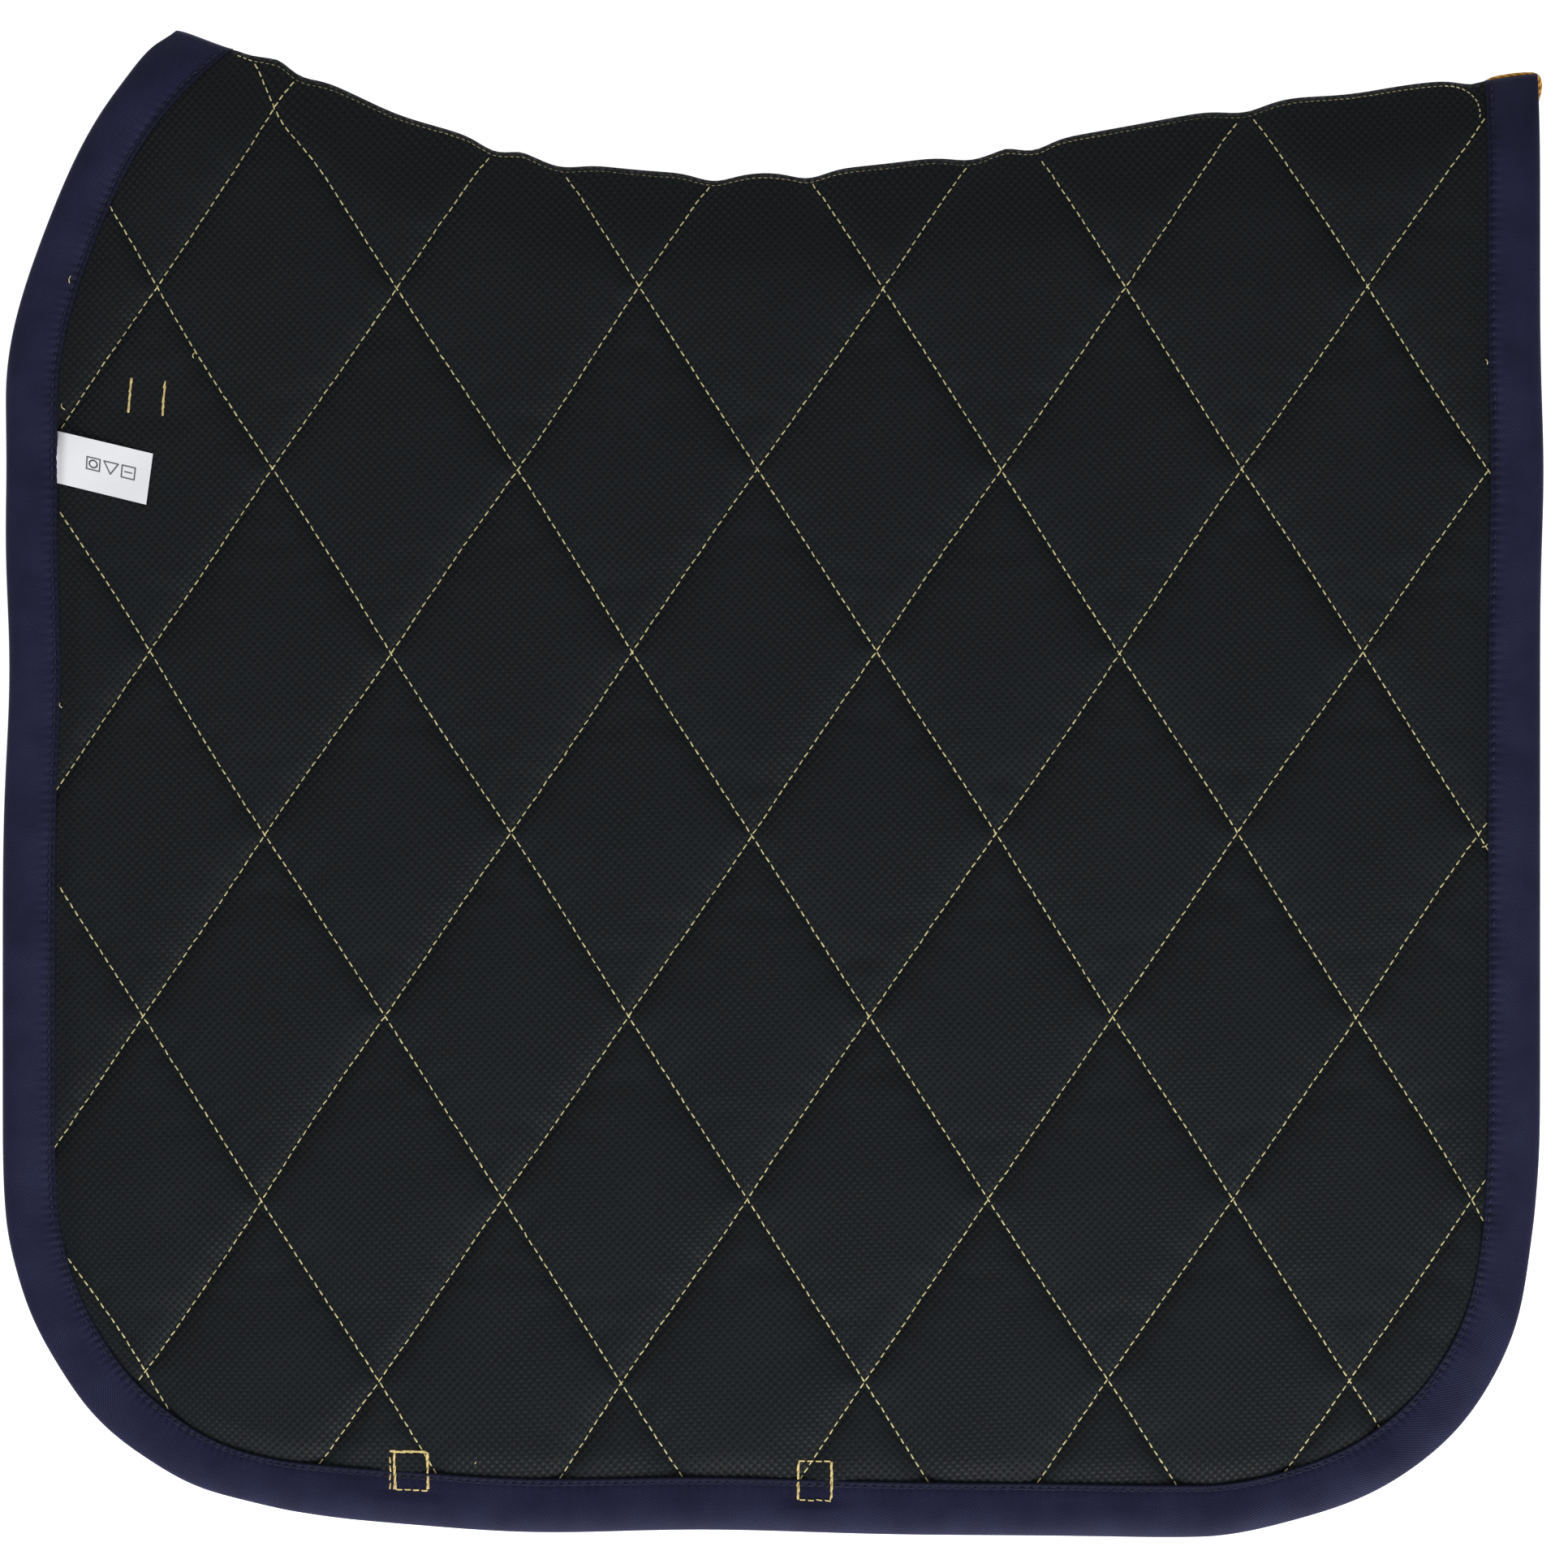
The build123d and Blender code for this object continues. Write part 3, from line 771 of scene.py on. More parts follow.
def shell_finish():
    f = Finish("quilted_shell", (0.012, 0.012, 0.035), 0.7, Sheen_Weight=0.08, Sheen_Roughness=0.4)
    flat = f.flat()
    a, b = f.wave(flat, 0.7 * MM, math.radians(45)), f.wave(flat, 0.7 * MM, math.radians(-45))
    weave = f.math("MULTIPLY", a, b)
    f.colour(f.mixed(f.ranged(weave, -1, 1, 0, 1), (0.009, 0.009, 0.027), (0.017, 0.017, 0.048)))
    f.bump(weave, 0.12 * MM, 0.6)
    return f.material


# %% Threads, cord, label and the plain inner materials
def thread_finish(name, colour, shade):
    f = Finish(name, colour, 0.42, Sheen_Weight=0.2)
    flat = f.flat()
    twist = f.wave(flat, 0.34 * MM, 0)
    f.colour(f.mixed(f.ranged(twist, -1, 1, 0, 1), shade, colour))
    f.bump(twist, 0.05 * MM, 0.6)
    return f.material


def cord_finish():
    f = Finish("gold_cord", (0.78, 0.36, 0.03), 0.34, Sheen_Weight=0.2)
    flat = f.flat()
    turned = f.add("ShaderNodeMapping", {"Vector": flat, "Scale": (2 * math.pi / (3.2 * MM), 2, 1)})
    split = f.add("ShaderNodeSeparateXYZ", {0: turned.outputs[0]})
    strands = f.math("COSINE", f.math("ADD", split.outputs[0], split.outputs[1]))
    f.colour(f.mixed(f.ranged(strands, -1, 1, 0, 1), (0.45, 0.17, 0.012), (0.85, 0.42, 0.045)))
    f.bump(strands, 0.25 * MM, 0.9)
    return f.material


def satin_finish():
    f = Finish("label_satin", (0.95, 0.965, 1.0), 0.36, Sheen_Weight=0.3)
    flat = f.flat()
    grain = f.wave(flat, 0.4 * MM, math.pi / 2)
    f.bump(f.math("ADD", grain, f.math("MULTIPLY", f.noise(flat, 5 * MM), 4.0)), 0.02 * MM, 0.5)
    return f.material


def pile_finish(name, dark, light, size):
    f = Finish(name, dark, 0.9, Sheen_Weight=0.4)
    flat = f.flat()
    tufts = f.noise(flat, size, 3.0)
    f.colour(f.mixed(tufts, dark, light))
    f.bump(tufts, 0.6 * MM, 1.0)
    return f.material


LINING_CLOTH = lining_finish()
SHELL_CLOTH = shell_finish()
ROW_DISTANCE = 18.2 * MM  # from the bound edge to the row that sews the binding down
# The binding's strip inside its sewing row gets painted shade through hem.
BINDING_CLOTH = navy_finish("navy_binding", 0.95 * MM, math.radians(52), 0.10 * MM,
                            (0.0205, 0.0215, 0.066), (0.0068, 0.0075, 0.025), hem=ROW_DISTANCE)
WEBBING = navy_finish("navy_web", 1.3 * MM, math.radians(90), 0.22 * MM,
                      (0.026, 0.026, 0.075), (0.010, 0.010, 0.034))
TAPE = navy_finish("navy_tape", 0.8 * MM, math.radians(90), 0.12 * MM,
                   (0.024, 0.024, 0.07), (0.011, 0.011, 0.036))
# The pale gold thread darkened: painted shade for the spine row's middle, which lies in the fold's shadow.
SHADED_GOLD = thread_finish("shaded_gold_thread", (0.52, 0.47, 0.25), (0.30, 0.26, 0.12))
PALE_GOLD = thread_finish("pale_gold_thread", (0.93, 0.86, 0.45), (0.62, 0.55, 0.24))
GOLD = thread_finish("gold_thread", (0.95, 0.78, 0.36), (0.66, 0.48, 0.17))
NAVY_THREAD = thread_finish("navy_thread", (0.021, 0.021, 0.068), (0.008, 0.008, 0.03))
CORD = cord_finish()
SATIN = satin_finish()
PRINT = Finish("label_print", (0.16, 0.16, 0.18), 0.6).material
FOAM = Finish("padding_foam", (0.72, 0.71, 0.66), 0.95).material
HOOKS = pile_finish("hook_pile", (0.008, 0.008, 0.02), (0.03, 0.03, 0.06), 0.5 * MM)
LOOPS = pile_finish("loop_pile", (0.012, 0.012, 0.03), (0.05, 0.05, 0.09), 0.9 * MM)
print(len(bpy.data.materials), "finishes")

# %% [markdown]
# ## Lining and shell
# Each cloth runs in one piece over both flanks, folded at the spine. On the real pad the lining is a
# knitted spacer mesh against the horse's back, and the shell a smooth cotton on the outside. Both are laid
# out on the same net so that their stitches meet through the padding.

# %% Make the lining and the shell
lining = two_flank_sheet("lining_cloth", lining_net, True, LINING_CLOTH)
shell = two_flank_sheet("shell_cloth", shell_net, False, SHELL_CLOTH)
for cloth, node, slot, reach in ((lining, "lining", "lining_mesh", 8.0 * MM),
                                 (shell, "shell", "quilted_shell", 6.0 * MM)):
    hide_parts(*both(node))
    bend_over_fold(cloth)
print("lining", len(lining.data.polygons), "faces, shell", len(shell.data.polygons), "faces")

# %% [markdown]
# ## Padding
# Between the cloths lies a slab of soft foam, squeezed at every seam. It is cut back from the spine, so that
# the pad folds there, and it can't be seen once the pad is sewn. Still it is made as a closed piece, because
# someone may take the pad apart.

# %% Make the padding of each flank
FOAM_CUT_BACK, CLOTH_T = 20 * MM, 1.0 * MM


def make_padding(side):
    flat, faces, _, ring = cloth_net(6.5 * MM, ((0.0, 4.0 * MM),), (), 3, 6 * MM, FOAM_CUT_BACK)
    x, y = flat.T
    puff = 0.45 * gathered_dome(x, y)
    top = placed(x, y, lining_height(x, y, puff) - CLOTH_T, side)
    low = placed(x, y, shell_height(x, y, 0) + CLOTH_T, side)
    n = len(flat)
    a, b = np.arange(ring), (np.arange(ring) + 1) % ring
    walls = np.stack([np.c_[a, b, b + n], np.c_[a, b + n, a + n]]).reshape(-1, 3)
    skin = np.vstack([faces, faces[:, ::-1] + n, walls[:, ::-1]])
    if side == NEAR:
        skin = skin[:, ::-1]
    pad = cloth_object(f"{SIDE_NAME[side]}_padding", np.vstack([top, low]), skin, FOAM)
    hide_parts(f"{SIDE_NAME[side]}_foam")
    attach(pad, REST_BODY[side])
    return pad


padding = [make_padding(side) for side in (OFF, NEAR)]
print("padding", len(padding[0].data.polygons), "faces a side")

# %% [markdown]
# ## Binding
# A navy cotton tape is folded over the raw edges and sewn through with one row in its own colour. It is the
# stiffest line of the pad: round on its outer edge, pressed where the row holds it, and slightly gathered
# on the inside of the corners. It runs as one loop, from flank to flank over both ends of the spine.

# %% The binding's section and path
FACE_OUT, FACE_IN = LINING_LEVEL - 0.2 * MM, BINDING_INNER_LEVEL
MID_LEVEL = (FACE_OUT + FACE_IN) / 2
EDGE_ROUND = 7.0 * MM
ROW_INSET, ROW_PITCH, ROW_DASH = ROW_DISTANCE, 3.6 * MM, 2.8 * MM
ROW_PUCKER = 0.46 * MM
STATION_STEP = 1.1 * MM
END_EASE = 60 * MM

hem = [(-2.5, 1.9), (-0.7, 1.6), (-0.12, 1.1), (0.0, 0.6), (-0.25, 0.2), (-0.8, 0.03)]
HEM_STEPS = [(BINDING_W + u * MM, drop * MM) for u, drop in hem]
across = (19.1, 18.2, 17.3, 16.0, 14.0, 12.0, 10.0, 8.0, 6.5, 5.0, 3.8, 2.7, 1.8, 1.1, 0.55, 0.2)
FACE_STEPS = [u * MM for u in across]
section = [(u, drop, OFF) for u, drop in HEM_STEPS] + [(u, 0.0, OFF) for u in FACE_STEPS] + [(0.0, 0.0, OFF)]
section += [(u, drop, NEAR) for u, drop, _ in section[-2::-1]]


def binding_face(u, outer):
    """Height of the binding's lining face, or of its shell face, this far from its outer edge."""
    slack = 1 - np.sqrt(1 - (1 - np.clip(u / EDGE_ROUND, 0, 1)) ** 2)
    row = 0.55 * MM * np.exp(-((u - ROW_INSET) / (1.1 * MM)) ** 2)
    thin = 1.5 * MM * smooth((u - 8 * MM) / (11 * MM)) * outer
    full = FACE_OUT if outer else FACE_IN
    return full + (MID_LEVEL - full) * slack - (row + thin) * (1 if outer else -1)


def edge_at(place, u):
    """Point this far inside the bound edge at a fractional station."""
    index = np.arange(len(fine_points))
    point = [np.interp(place, index, fine_points[:, k]) for k in (0, 1)]
    normal = [np.interp(place, index, fine_normals[:, k]) for k in (0, 1)]
    size = np.hypot(*normal)
    return point[0] + u * normal[0] / size, point[1] + u * normal[1] / size


fine_points, fine_normals = bound_stations(STATION_STEP)
index = np.arange(len(fine_points))


def spine_crossings(u):
    """Stations where the line this far inside the edge leaves the spine and comes back to it."""
    below = spine_distance(*edge_at(index.astype(float), u))
    front = int(np.flatnonzero(below > 0)[0])
    rear = int(np.flatnonzero(below > 0)[-1])
    first = front - below[front] / (below[front] - below[front - 1])
    last = rear + below[rear] / (below[rear] - below[rear + 1])
    return first, last


def fitted(place, u):
    """Slides a station so that every line inside the edge starts and ends on the spine."""
    first, last = spine_crossings(0.0)
    own_first, own_last = spine_crossings(u)
    ease = END_EASE / STATION_STEP
    near_first, near_last = first + ease, last - ease
    start = own_first + (place - first) * (near_first - own_first) / ease
    end = own_last - (last - place) * (own_last - near_last) / ease
    return np.where(place < near_first, start, np.where(place > near_last, end, place))


# %% Make the binding
def make_binding():
    first, last = spine_crossings(0.0)
    extra = np.array([0.0, 0.35, 0.8, 1.4, 2.1, 3.0]) * MM / STATION_STEP
    places = np.r_[first + extra, np.arange(math.ceil(first + 4), last - 3.5), last - extra[::-1]]
    columns, marks = [], []
    run = places * STATION_STEP
    for u, drop, face in section:
        outer = face == OFF
        x, y = edge_at(fitted(places, u), u)
        sign = 1 if outer else -1
        wrinkle = 0.30 * MM * ripples(run, np.full_like(run, u * 0.7), 0.016, 31, 12)
        wrinkle = wrinkle + 0.55 * MM * ripples(run, np.full_like(run, u * 1.3), 0.045, 32, 9)
        near_row = math.exp(-((u - ROW_INSET) / (2.2 * MM)) ** 2)
        pucker = ROW_PUCKER * np.sin(2 * math.pi * run / ROW_PITCH) * near_row
        height = binding_face(u, outer) - sign * drop + wrinkle * min(1, u / EDGE_ROUND) + sign * pucker
        height = height - sign * 0.9 * MM * pressed(x, y) * (u > 10 * MM) * outer
        columns.append((x, y, height))
        around = u if outer else -u
        marks.append(np.stack([run, np.full_like(run, around)], 1))
    rings = len(places)
    grids = []
    for side in (OFF, NEAR):
        cols = [placed(x, y, h, side) for x, y, h in columns]
        for col in cols:
            col[[0, -1], 2] = FOLD_Z
        grid = np.stack(cols, 1)
        grids.append(grid if side == OFF else grid[-2:0:-1])
    points = np.concatenate(grids)
    flat_marks = np.stack(marks, 1)
    flat = np.concatenate([flat_marks, flat_marks[-2:0:-1]])
    faces = grid_faces(*points.shape[:2], loop=True)
    print("binding:", rings, "stations a side,", len(faces), "faces")
    return cloth_object("binding_tape", points.reshape(-1, 3), faces, BINDING_CLOTH, flat.reshape(-1, 2))


binding = make_binding()
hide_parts(*both("binding"))
bend_over_fold(binding)

# %% Make the row that sews the binding down
def binding_row():
    first, last = spine_crossings(ROW_INSET)
    places = np.arange(first + 1.6, last - 1.6, 0.5)
    wander = ROW_INSET + 0.25 * MM * ripples(places * STATION_STEP, places * 0, 0.03, 33)
    x, y = edge_at(places, wander)
    runs = []
    for outer in (True, False):
        lift = 0.12 * MM if outer else -0.12 * MM
        height = binding_face(wander, outer) + lift - 0.9 * MM * pressed(x, y) * outer
        runs += [(placed(x, y, height, side), [0, 0, side if outer else -side]) for side in (OFF, NEAR)]
    return sewn_rows("binding_row", runs, ROW_PITCH, ROW_DASH, NAVY_THREAD, width=0.6 * MM)


row = binding_row()
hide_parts(*both("binding_stitching"))
bend_over_fold(row)
print("binding row", len(row.data.polygons) // 17, "stitches")

# %% [markdown]
# ## Quilting stitches
# Every stitch is its own short thread, because that is what catches the light: it comes up out of one hole,
# lies on the cloth and goes down the next. The same lines show on the lining and on the shell.

# %% Sew the quilting
DASH, HOLE_TO_HOLE = 2.65 * MM, 3.6 * MM


def quilting(name, sampler, outer, material, seed):
    runs = []
    for line in quilt_line_points(1.1 * MM):
        clear = edge_distance(line[:, 0], line[:, 1]) > BINDING_W - 0.8 * MM
        clear &= spine_distance(line[:, 0], line[:, 1]) > 1.6 * MM
        line = line[clear]
        if len(line) < 8:
            continue
        wobble = 0.22 * MM * ripples(line[:, 0], line[:, 1], 9 * MM, seed)
        xy = line[:, :2] + np.stack([-line[:, 3], line[:, 2]], 1) * wobble[:, None]
        height = sampler(xy)
        good = ~np.isnan(height)
        xy, height = xy[good], height[good] + (0.1 * MM if outer else -0.1 * MM)
        runs += [(placed(*xy.T, height, side), [0, 0, side if outer else -side]) for side in (OFF, NEAR)]
    return sewn_rows(name, runs, HOLE_TO_HOLE, DASH, material, seed=seed)


lining_thread = quilting("lining_quilting", lining_at, True, PALE_GOLD, 41)
shell_thread = quilting("shell_quilting", shell_at, False, PALE_GOLD, 42)
for thread, node, reach in ((lining_thread, "lining_quilting_thread", 8.0 * MM),
                            (shell_thread, "shell_quilting_thread", 6.0 * MM)):
    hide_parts(*both(node))
    bend_over_fold(thread)
print("quilting:", len(lining_thread.data.polygons), "faces on the lining")

# %% [markdown]
# ## The spine's seam
# The two halves are joined along the spine: a row of gold stitches runs just below the fold on the lining
# side, and a navy tape covers the seam on the shell side. At the rear the row turns down and runs into the
# last quilting line, the way a machinist finishes without cutting the thread.

# %% Sew the spine
SPINE_ROW, SPINE_PITCH, SPINE_DASH = 1.9 * MM, 2.3 * MM, 1.6 * MM
TAPE_W, TAPE_T = 12 * MM, 0.8 * MM
spine_front = BINDING_W + FRONT_X
while edge_distance(spine_front, spine_y(np.array(spine_front))) < BINDING_W:
    spine_front += 0.5 * MM
spine_rear = REAR_X - BINDING_W


# Where the fold rolls over the row and hides it, as middle and half length
SUNK_RUNS = ((-170, 34), (-60, 40), (60, 30), (168, 42))
BOLD_ENDS = -203 * MM, 262 * MM
ROW_END = 268 * MM
TURN_DOWN = np.array([(270.5, 271.8), (273.6, 270.2), (276.0, 266.8), (277.0, 262.5), (276.6, 258.4)]) * MM


def spine_row(name, colour, width, ends_only):
    """The row's bold ends, or its run between them, sewn in a darker gold: painted shade, where the rolled
    fold shadows the row.
    """
    xs = np.arange(spine_front + 1.5 * MM, ROW_END, 0.8 * MM)
    line = np.stack([xs, spine_y(xs) - SPINE_ROW], 1)
    line = np.vstack([line, TURN_DOWN])
    line[:, 1] += 0.2 * MM * ripples(line[:, 0], line[:, 0] * 0, 8 * MM, 51)
    height = lining_at(line)
    line, height = line[~np.isnan(height)], height[~np.isnan(height)] + 0.1 * MM
    for middle, reach in SUNK_RUNS:
        height -= 0.42 * MM * np.exp(-((line[:, 0] - middle * MM) / (reach * MM)) ** 4)
    starts, ends, ups = [], [], []
    for side in (OFF, NEAR):
        a, b = dashes(placed(*line.T, height, side), SPINE_PITCH, SPINE_DASH)
        bold = (a[:, 0] < BOLD_ENDS[0]) | (a[:, 0] > BOLD_ENDS[1])
        a, b = a[bold == ends_only], b[bold == ends_only]
        starts.append(a)
        ends.append(b)
        ups.append(np.tile([0, 0.5, 0.85 * side], (len(a), 1)))
    return stitches(name, np.vstack(starts), np.vstack(ends), np.vstack(ups), colour, width, seed=52)


def spine_tape():
    """A flat tape bent over the inside of the fold: its two faces join at both long edges."""
    xs = np.arange(spine_front + 3 * MM, spine_rear - 3 * MM, 3 * MM)
    down = np.array([0.0, 0.4, 1.0, 2.0, 3.5, 5.5, 8.0, 10.5, 12.0]) * MM
    rows, marks = [], []
    for lift, drop in ((0.25 * MM, 0.5 * MM), (0.25 * MM + TAPE_T, 0.5 * MM + TAPE_T)):
        loop = [(s, OFF) for s in down[::-1]] + [(s, NEAR) for s in down[1:]]
        if rows:
            loop = loop[::-1]
        for s, side in loop:
            y = spine_y(xs) - s
            shown = placed(xs, y, np.full_like(xs, SHELL_SEAM - lift), side)
            shown[:, 1] -= drop * (1 - s / (2 * TAPE_W))
            if s == 0:
                shown[:, 2] = FOLD_Z
            rows.append(shown)
            marks.append(np.stack([xs, np.full_like(xs, s * side)], 1))
    grid, flat = np.stack(rows, 1), np.stack(marks, 1)
    n, wide = grid.shape[:2]
    faces = grid_faces(n, wide)[:, TURNED].tolist()
    faces += [list(range(wide)), list(range((n - 1) * wide, n * wide))[::-1]]
    return cloth_object("spine_cover", grid.reshape(-1, 3), faces, TAPE, flat.reshape(-1, 2))


# The middle of the row takes the darker gold, painted shade from the fold; the ends keep the pale gold.
row_on_spine = spine_row("spine_row", SHADED_GOLD, 0.36 * MM, False)
row_ends = spine_row("spine_row_ends", PALE_GOLD, 0.46 * MM, True)
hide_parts(*both("spine_stitching"))
for row in (row_on_spine, row_ends):
    bend_over_fold(row)
tape = spine_tape()
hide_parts(*both("spine_tape"))
bend_over_fold(tape)
print("spine row", len(row_on_spine.data.polygons) // 17, "stitches,",
      "tape", round((spine_rear - spine_front) / MM), "mm")

# %% [markdown]
# ## Gold cord
# A thin twisted cord trims the binding's inner edge on the shell side. Folded away it only shows at the rear
# end of the spine, where its tail loops over the binding.

# %% Lay the cord on both flanks
CORD_R, CORD_INSET = 0.95 * MM, 20.6 * MM


def cord_path(side):
    first, last = spine_crossings(CORD_INSET)
    places = np.arange(first + 7, last - 7, 2.0)
    x, y = edge_at(places, CORD_INSET)
    return placed(x, y, np.full_like(x, FACE_IN - 0.6 * MM), side)


def cord_tail(start):
    """The tail of the near flank's cord, looped over the rear end of the binding."""
    loop = np.array([(279.1, 268.0, -1.4), (279.0, 272.6, -0.9), (281.0, 275.3, -0.3), (285.5, 276.7, 0.3),
                     (290.6, 277.5, 0.6), (296.0, 277.9, 0.4), (299.8, 277.4, -0.6), (301.2, 274.2, -2.4),
                     (300.2, 268.0, -4.0)]) * MM
    loop[:, 2] += FOLD_Z
    knots = np.vstack([start, loop])
    t = np.r_[0, np.cumsum(np.linalg.norm(np.diff(knots, axis=0), axis=1))]
    fine = np.arange(0, t[-1], 0.8 * MM)
    out = []
    for k in range(3):
        bends = spline_bends(t, knots[:, k])
        i = np.clip(np.searchsorted(t, fine) - 1, 0, len(t) - 2)
        gap = t[i + 1] - t[i]
        a, b = (t[i + 1] - fine) / gap, (fine - t[i]) / gap
        curve = ((a**3 - a) * bends[i] + (b**3 - b) * bends[i + 1]) * gap**2 / 6
        out.append(a * knots[i, k] + b * knots[i + 1, k] + curve)
    return np.stack(out, 1)


def make_cord():
    off, near = cord_path(OFF), cord_path(NEAR)
    near = np.vstack([near[:-1], cord_tail(near[-1])])
    made = [tube(path, CORD_R) for path in (off, near)]
    points = np.vstack([m[0] for m in made])
    faces = made[0][1] + [[i + len(made[0][0]) for i in f] for f in made[1][1]]
    return cloth_object("edge_cord", points, faces, CORD, np.vstack([m[2] for m in made]))


gold_cord = make_cord()
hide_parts(*both("piping"))
bend_over_fold(gold_cord)

# %% [markdown]
# ## Webbing: girth keepers and saddle straps
# The keeper is a short run of navy webbing over the bottom edge, sewn at both ends with a box seam, through
# which the girth passes. The strap near the front is the same webbing, with a hook and a loop patch, held by
# two bar tacks. All of it is on the shell side; only the seams show on the lining.

# %% Make a run of webbing
WEB_W, WEB_T = 20 * MM, 1.4 * MM


def webbing(name, path, across, material):
    """Flat webbing along a path, with soft selvedges."""
    path = np.asarray(path)
    way = np.gradient(path, axis=0)
    way /= np.linalg.norm(way, axis=1)[:, None]
    side = np.tile(np.asarray(across, float), (len(path), 1))
    side -= way * (side * way).sum(1)[:, None]
    side /= np.linalg.norm(side, axis=1)[:, None]
    up = np.cross(side, way)
    t = np.linspace(0, 2 * math.pi, 28, endpoint=False)
    flatten = lambda v, p: np.sign(v) * np.abs(v) ** p
    u, v = flatten(np.cos(t), 0.35) * WEB_W / 2, flatten(np.sin(t), 0.35) * WEB_T / 2
    run = np.r_[0, np.cumsum(np.linalg.norm(np.diff(path, axis=0), axis=1))]
    end = np.minimum(run, run[-1] - run)
    soft = 0.72 + 0.28 * smooth(end / (1.5 * MM))
    thick = v[None, :, None] * soft[:, None, None]
    grid = path[:, None] + side[:, None] * u[None, :, None] + up[:, None] * thick
    n, wide = grid.shape[:2]
    faces = grid_faces(n, wide).tolist()
    faces += [list(range(wide))[::-1], list(range((n - 1) * wide, n * wide))]
    flat = np.stack([np.repeat(run, wide), np.tile(u, n)], 1)
    return cloth_object(name, grid.reshape(-1, 3), faces, material, flat)


def keeper(side):
    (x1, y1, w1, _), (x2, y2, w2, _) = BOX_SEAMS
    xs = np.arange(x1 - w1 / 2 - 2.5 * MM, x2 + w2 / 2 + 2.5 * MM, 1.0 * MM)
    ys = np.interp(xs, [x1, x2], [y1, y2])
    foot, span = FACE_IN - 0.2 * MM - WEB_T / 2, 1.5 * MM
    rise = smooth(np.minimum(xs - x1 - w1 / 2, x2 - w2 / 2 - xs) / (16 * MM))
    level = foot + (span - foot) * rise + 0.25 * MM * ripples(xs, ys, 0.04, 61)
    dx, dy = settling(xs, ys)
    path = np.stack([xs + dx, ys + dy, FOLD_Z + side * level], 1)
    return webbing(f"{SIDE_NAME[side]}_keeper_web", path, (0, 1, 0), WEBBING)


for side in (OFF, NEAR):
    web = keeper(side)
    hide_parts(f"{SIDE_NAME[side]}_girth_keeper")
    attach(web, REST_BODY[side])

# %% Make the saddle straps and their patches
def strap(side):
    low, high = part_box(f"{SIDE_NAME[side]}_saddle_strap")
    xs = np.arange(low.x, high.x, 1.0 * MM)
    droop = 1.2 * MM * smooth((xs - low.x) / 0.06) * np.sin((xs - low.x) / 0.045)
    level = (low.z + high.z) / 2 + 0.15 * MM * ripples(xs, xs * 0, 0.05, 63)
    path = np.stack([xs, (low.y + high.y) / 2 + droop, level], 1)
    return webbing(f"{SIDE_NAME[side]}_strap_web", path, (0, 1, 0), WEBBING)


def patch(side, kind, material, nap):
    """A rectangle of hook or loop tape with rounded corners and a rough pile on its open face."""
    low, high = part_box(f"{SIDE_NAME[side]}_strap_{kind}_patch")
    nx, ny = 58, 26
    u, v = np.meshgrid(np.linspace(-1, 1, nx), np.linspace(-1, 1, ny), indexing="ij")
    half = ((high.x - low.x) / 2, (high.y - low.y) / 2)
    x, y = (low.x + high.x) / 2 + u * half[0], (low.y + high.y) / 2 + v * half[1]
    rim = np.minimum((1 - np.abs(u)) * half[0], (1 - np.abs(v)) * half[1])
    dice = np.random.default_rng(71)
    open_z, back_z = (low.z, high.z) if side == OFF else (high.z, low.z)
    pile = nap * dice.uniform(-1, 1, u.shape) * (rim > 1.2 * MM)
    top = open_z + (back_z - open_z) * 0.6 * (1 - smooth(rim / (1.1 * MM))) + pile
    points = np.concatenate([np.stack([x, y, top], -1), np.stack([x, y, np.full_like(x, back_z)], -1)])
    points = points.reshape(-1, 3)
    n = nx * ny
    skin = grid_faces(nx, ny, ring=False)[:, TURNED]
    loop = np.r_[np.arange(ny), np.arange(1, nx) * ny + ny - 1, np.arange(ny - 2, -1, -1) + (nx - 1) * ny,
                 np.arange(nx - 2, 0, -1) * ny]
    after = np.roll(loop, -1)
    faces = np.vstack([skin, skin[:, ::-1] + n, np.stack([loop, after, after + n, loop + n], -1)])
    if side == OFF:
        faces = faces[:, ::-1]
    obj = cloth_object(f"{SIDE_NAME[side]}_{kind}_tape", points, faces, material, points[:, :2])
    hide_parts(f"{SIDE_NAME[side]}_strap_{kind}_patch")
    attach(obj, REST_BODY[side])


for side in (OFF, NEAR):
    web = strap(side)
    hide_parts(f"{SIDE_NAME[side]}_saddle_strap")
    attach(web, REST_BODY[side])
    patch(side, "hook", HOOKS, 0.28 * MM)
    patch(side, "loop", LOOPS, 0.16 * MM)

# %% [markdown]
# ## Box seams and bar tacks
# The webbing carries the pull, so it is sewn with thicker gold thread, right through the flank: a box at each
# end of the keeper and two close bars on the strap. The machine goes over some sides twice, and those look
# like a solid line.

# %% Sew the boxes and the bars
BOLD_W, TACK_W, BOLD_DASH, BOLD_PITCH = 0.66 * MM, 0.46 * MM, 2.6 * MM, 3.3 * MM


def seam_line(a, b, heavy, dice):
    """Flat starts and ends of the stitches from a to b; a heavy side is sewn twice and wavers."""
    a, b = np.array(a), np.array(b)
    length = np.linalg.norm(b - a)
    way = (b - a) / length
    side = np.array([-way[1], way[0]])
    found = []
    for k in range(2 if heavy else 1):
        dash = 3.4 * MM if heavy else BOLD_DASH
        pitch = 2.9 * MM if heavy else BOLD_PITCH
        t = np.arange(-0.9 * MM * k, length - 0.6 * dash, pitch)
        off = dice.normal(0, 0.13 * MM, (len(t), 2)) + (k - 0.5) * 0.35 * MM * heavy
        first = a + way * np.clip(t, 0, None)[:, None] + side * off[:, :1]
        last = a + way * np.clip(t + dash, None, length)[:, None] + side * off[:, 1:]
        found.append((first, last))
    return np.vstack([f for f, _ in found]), np.vstack([l for _, l in found])


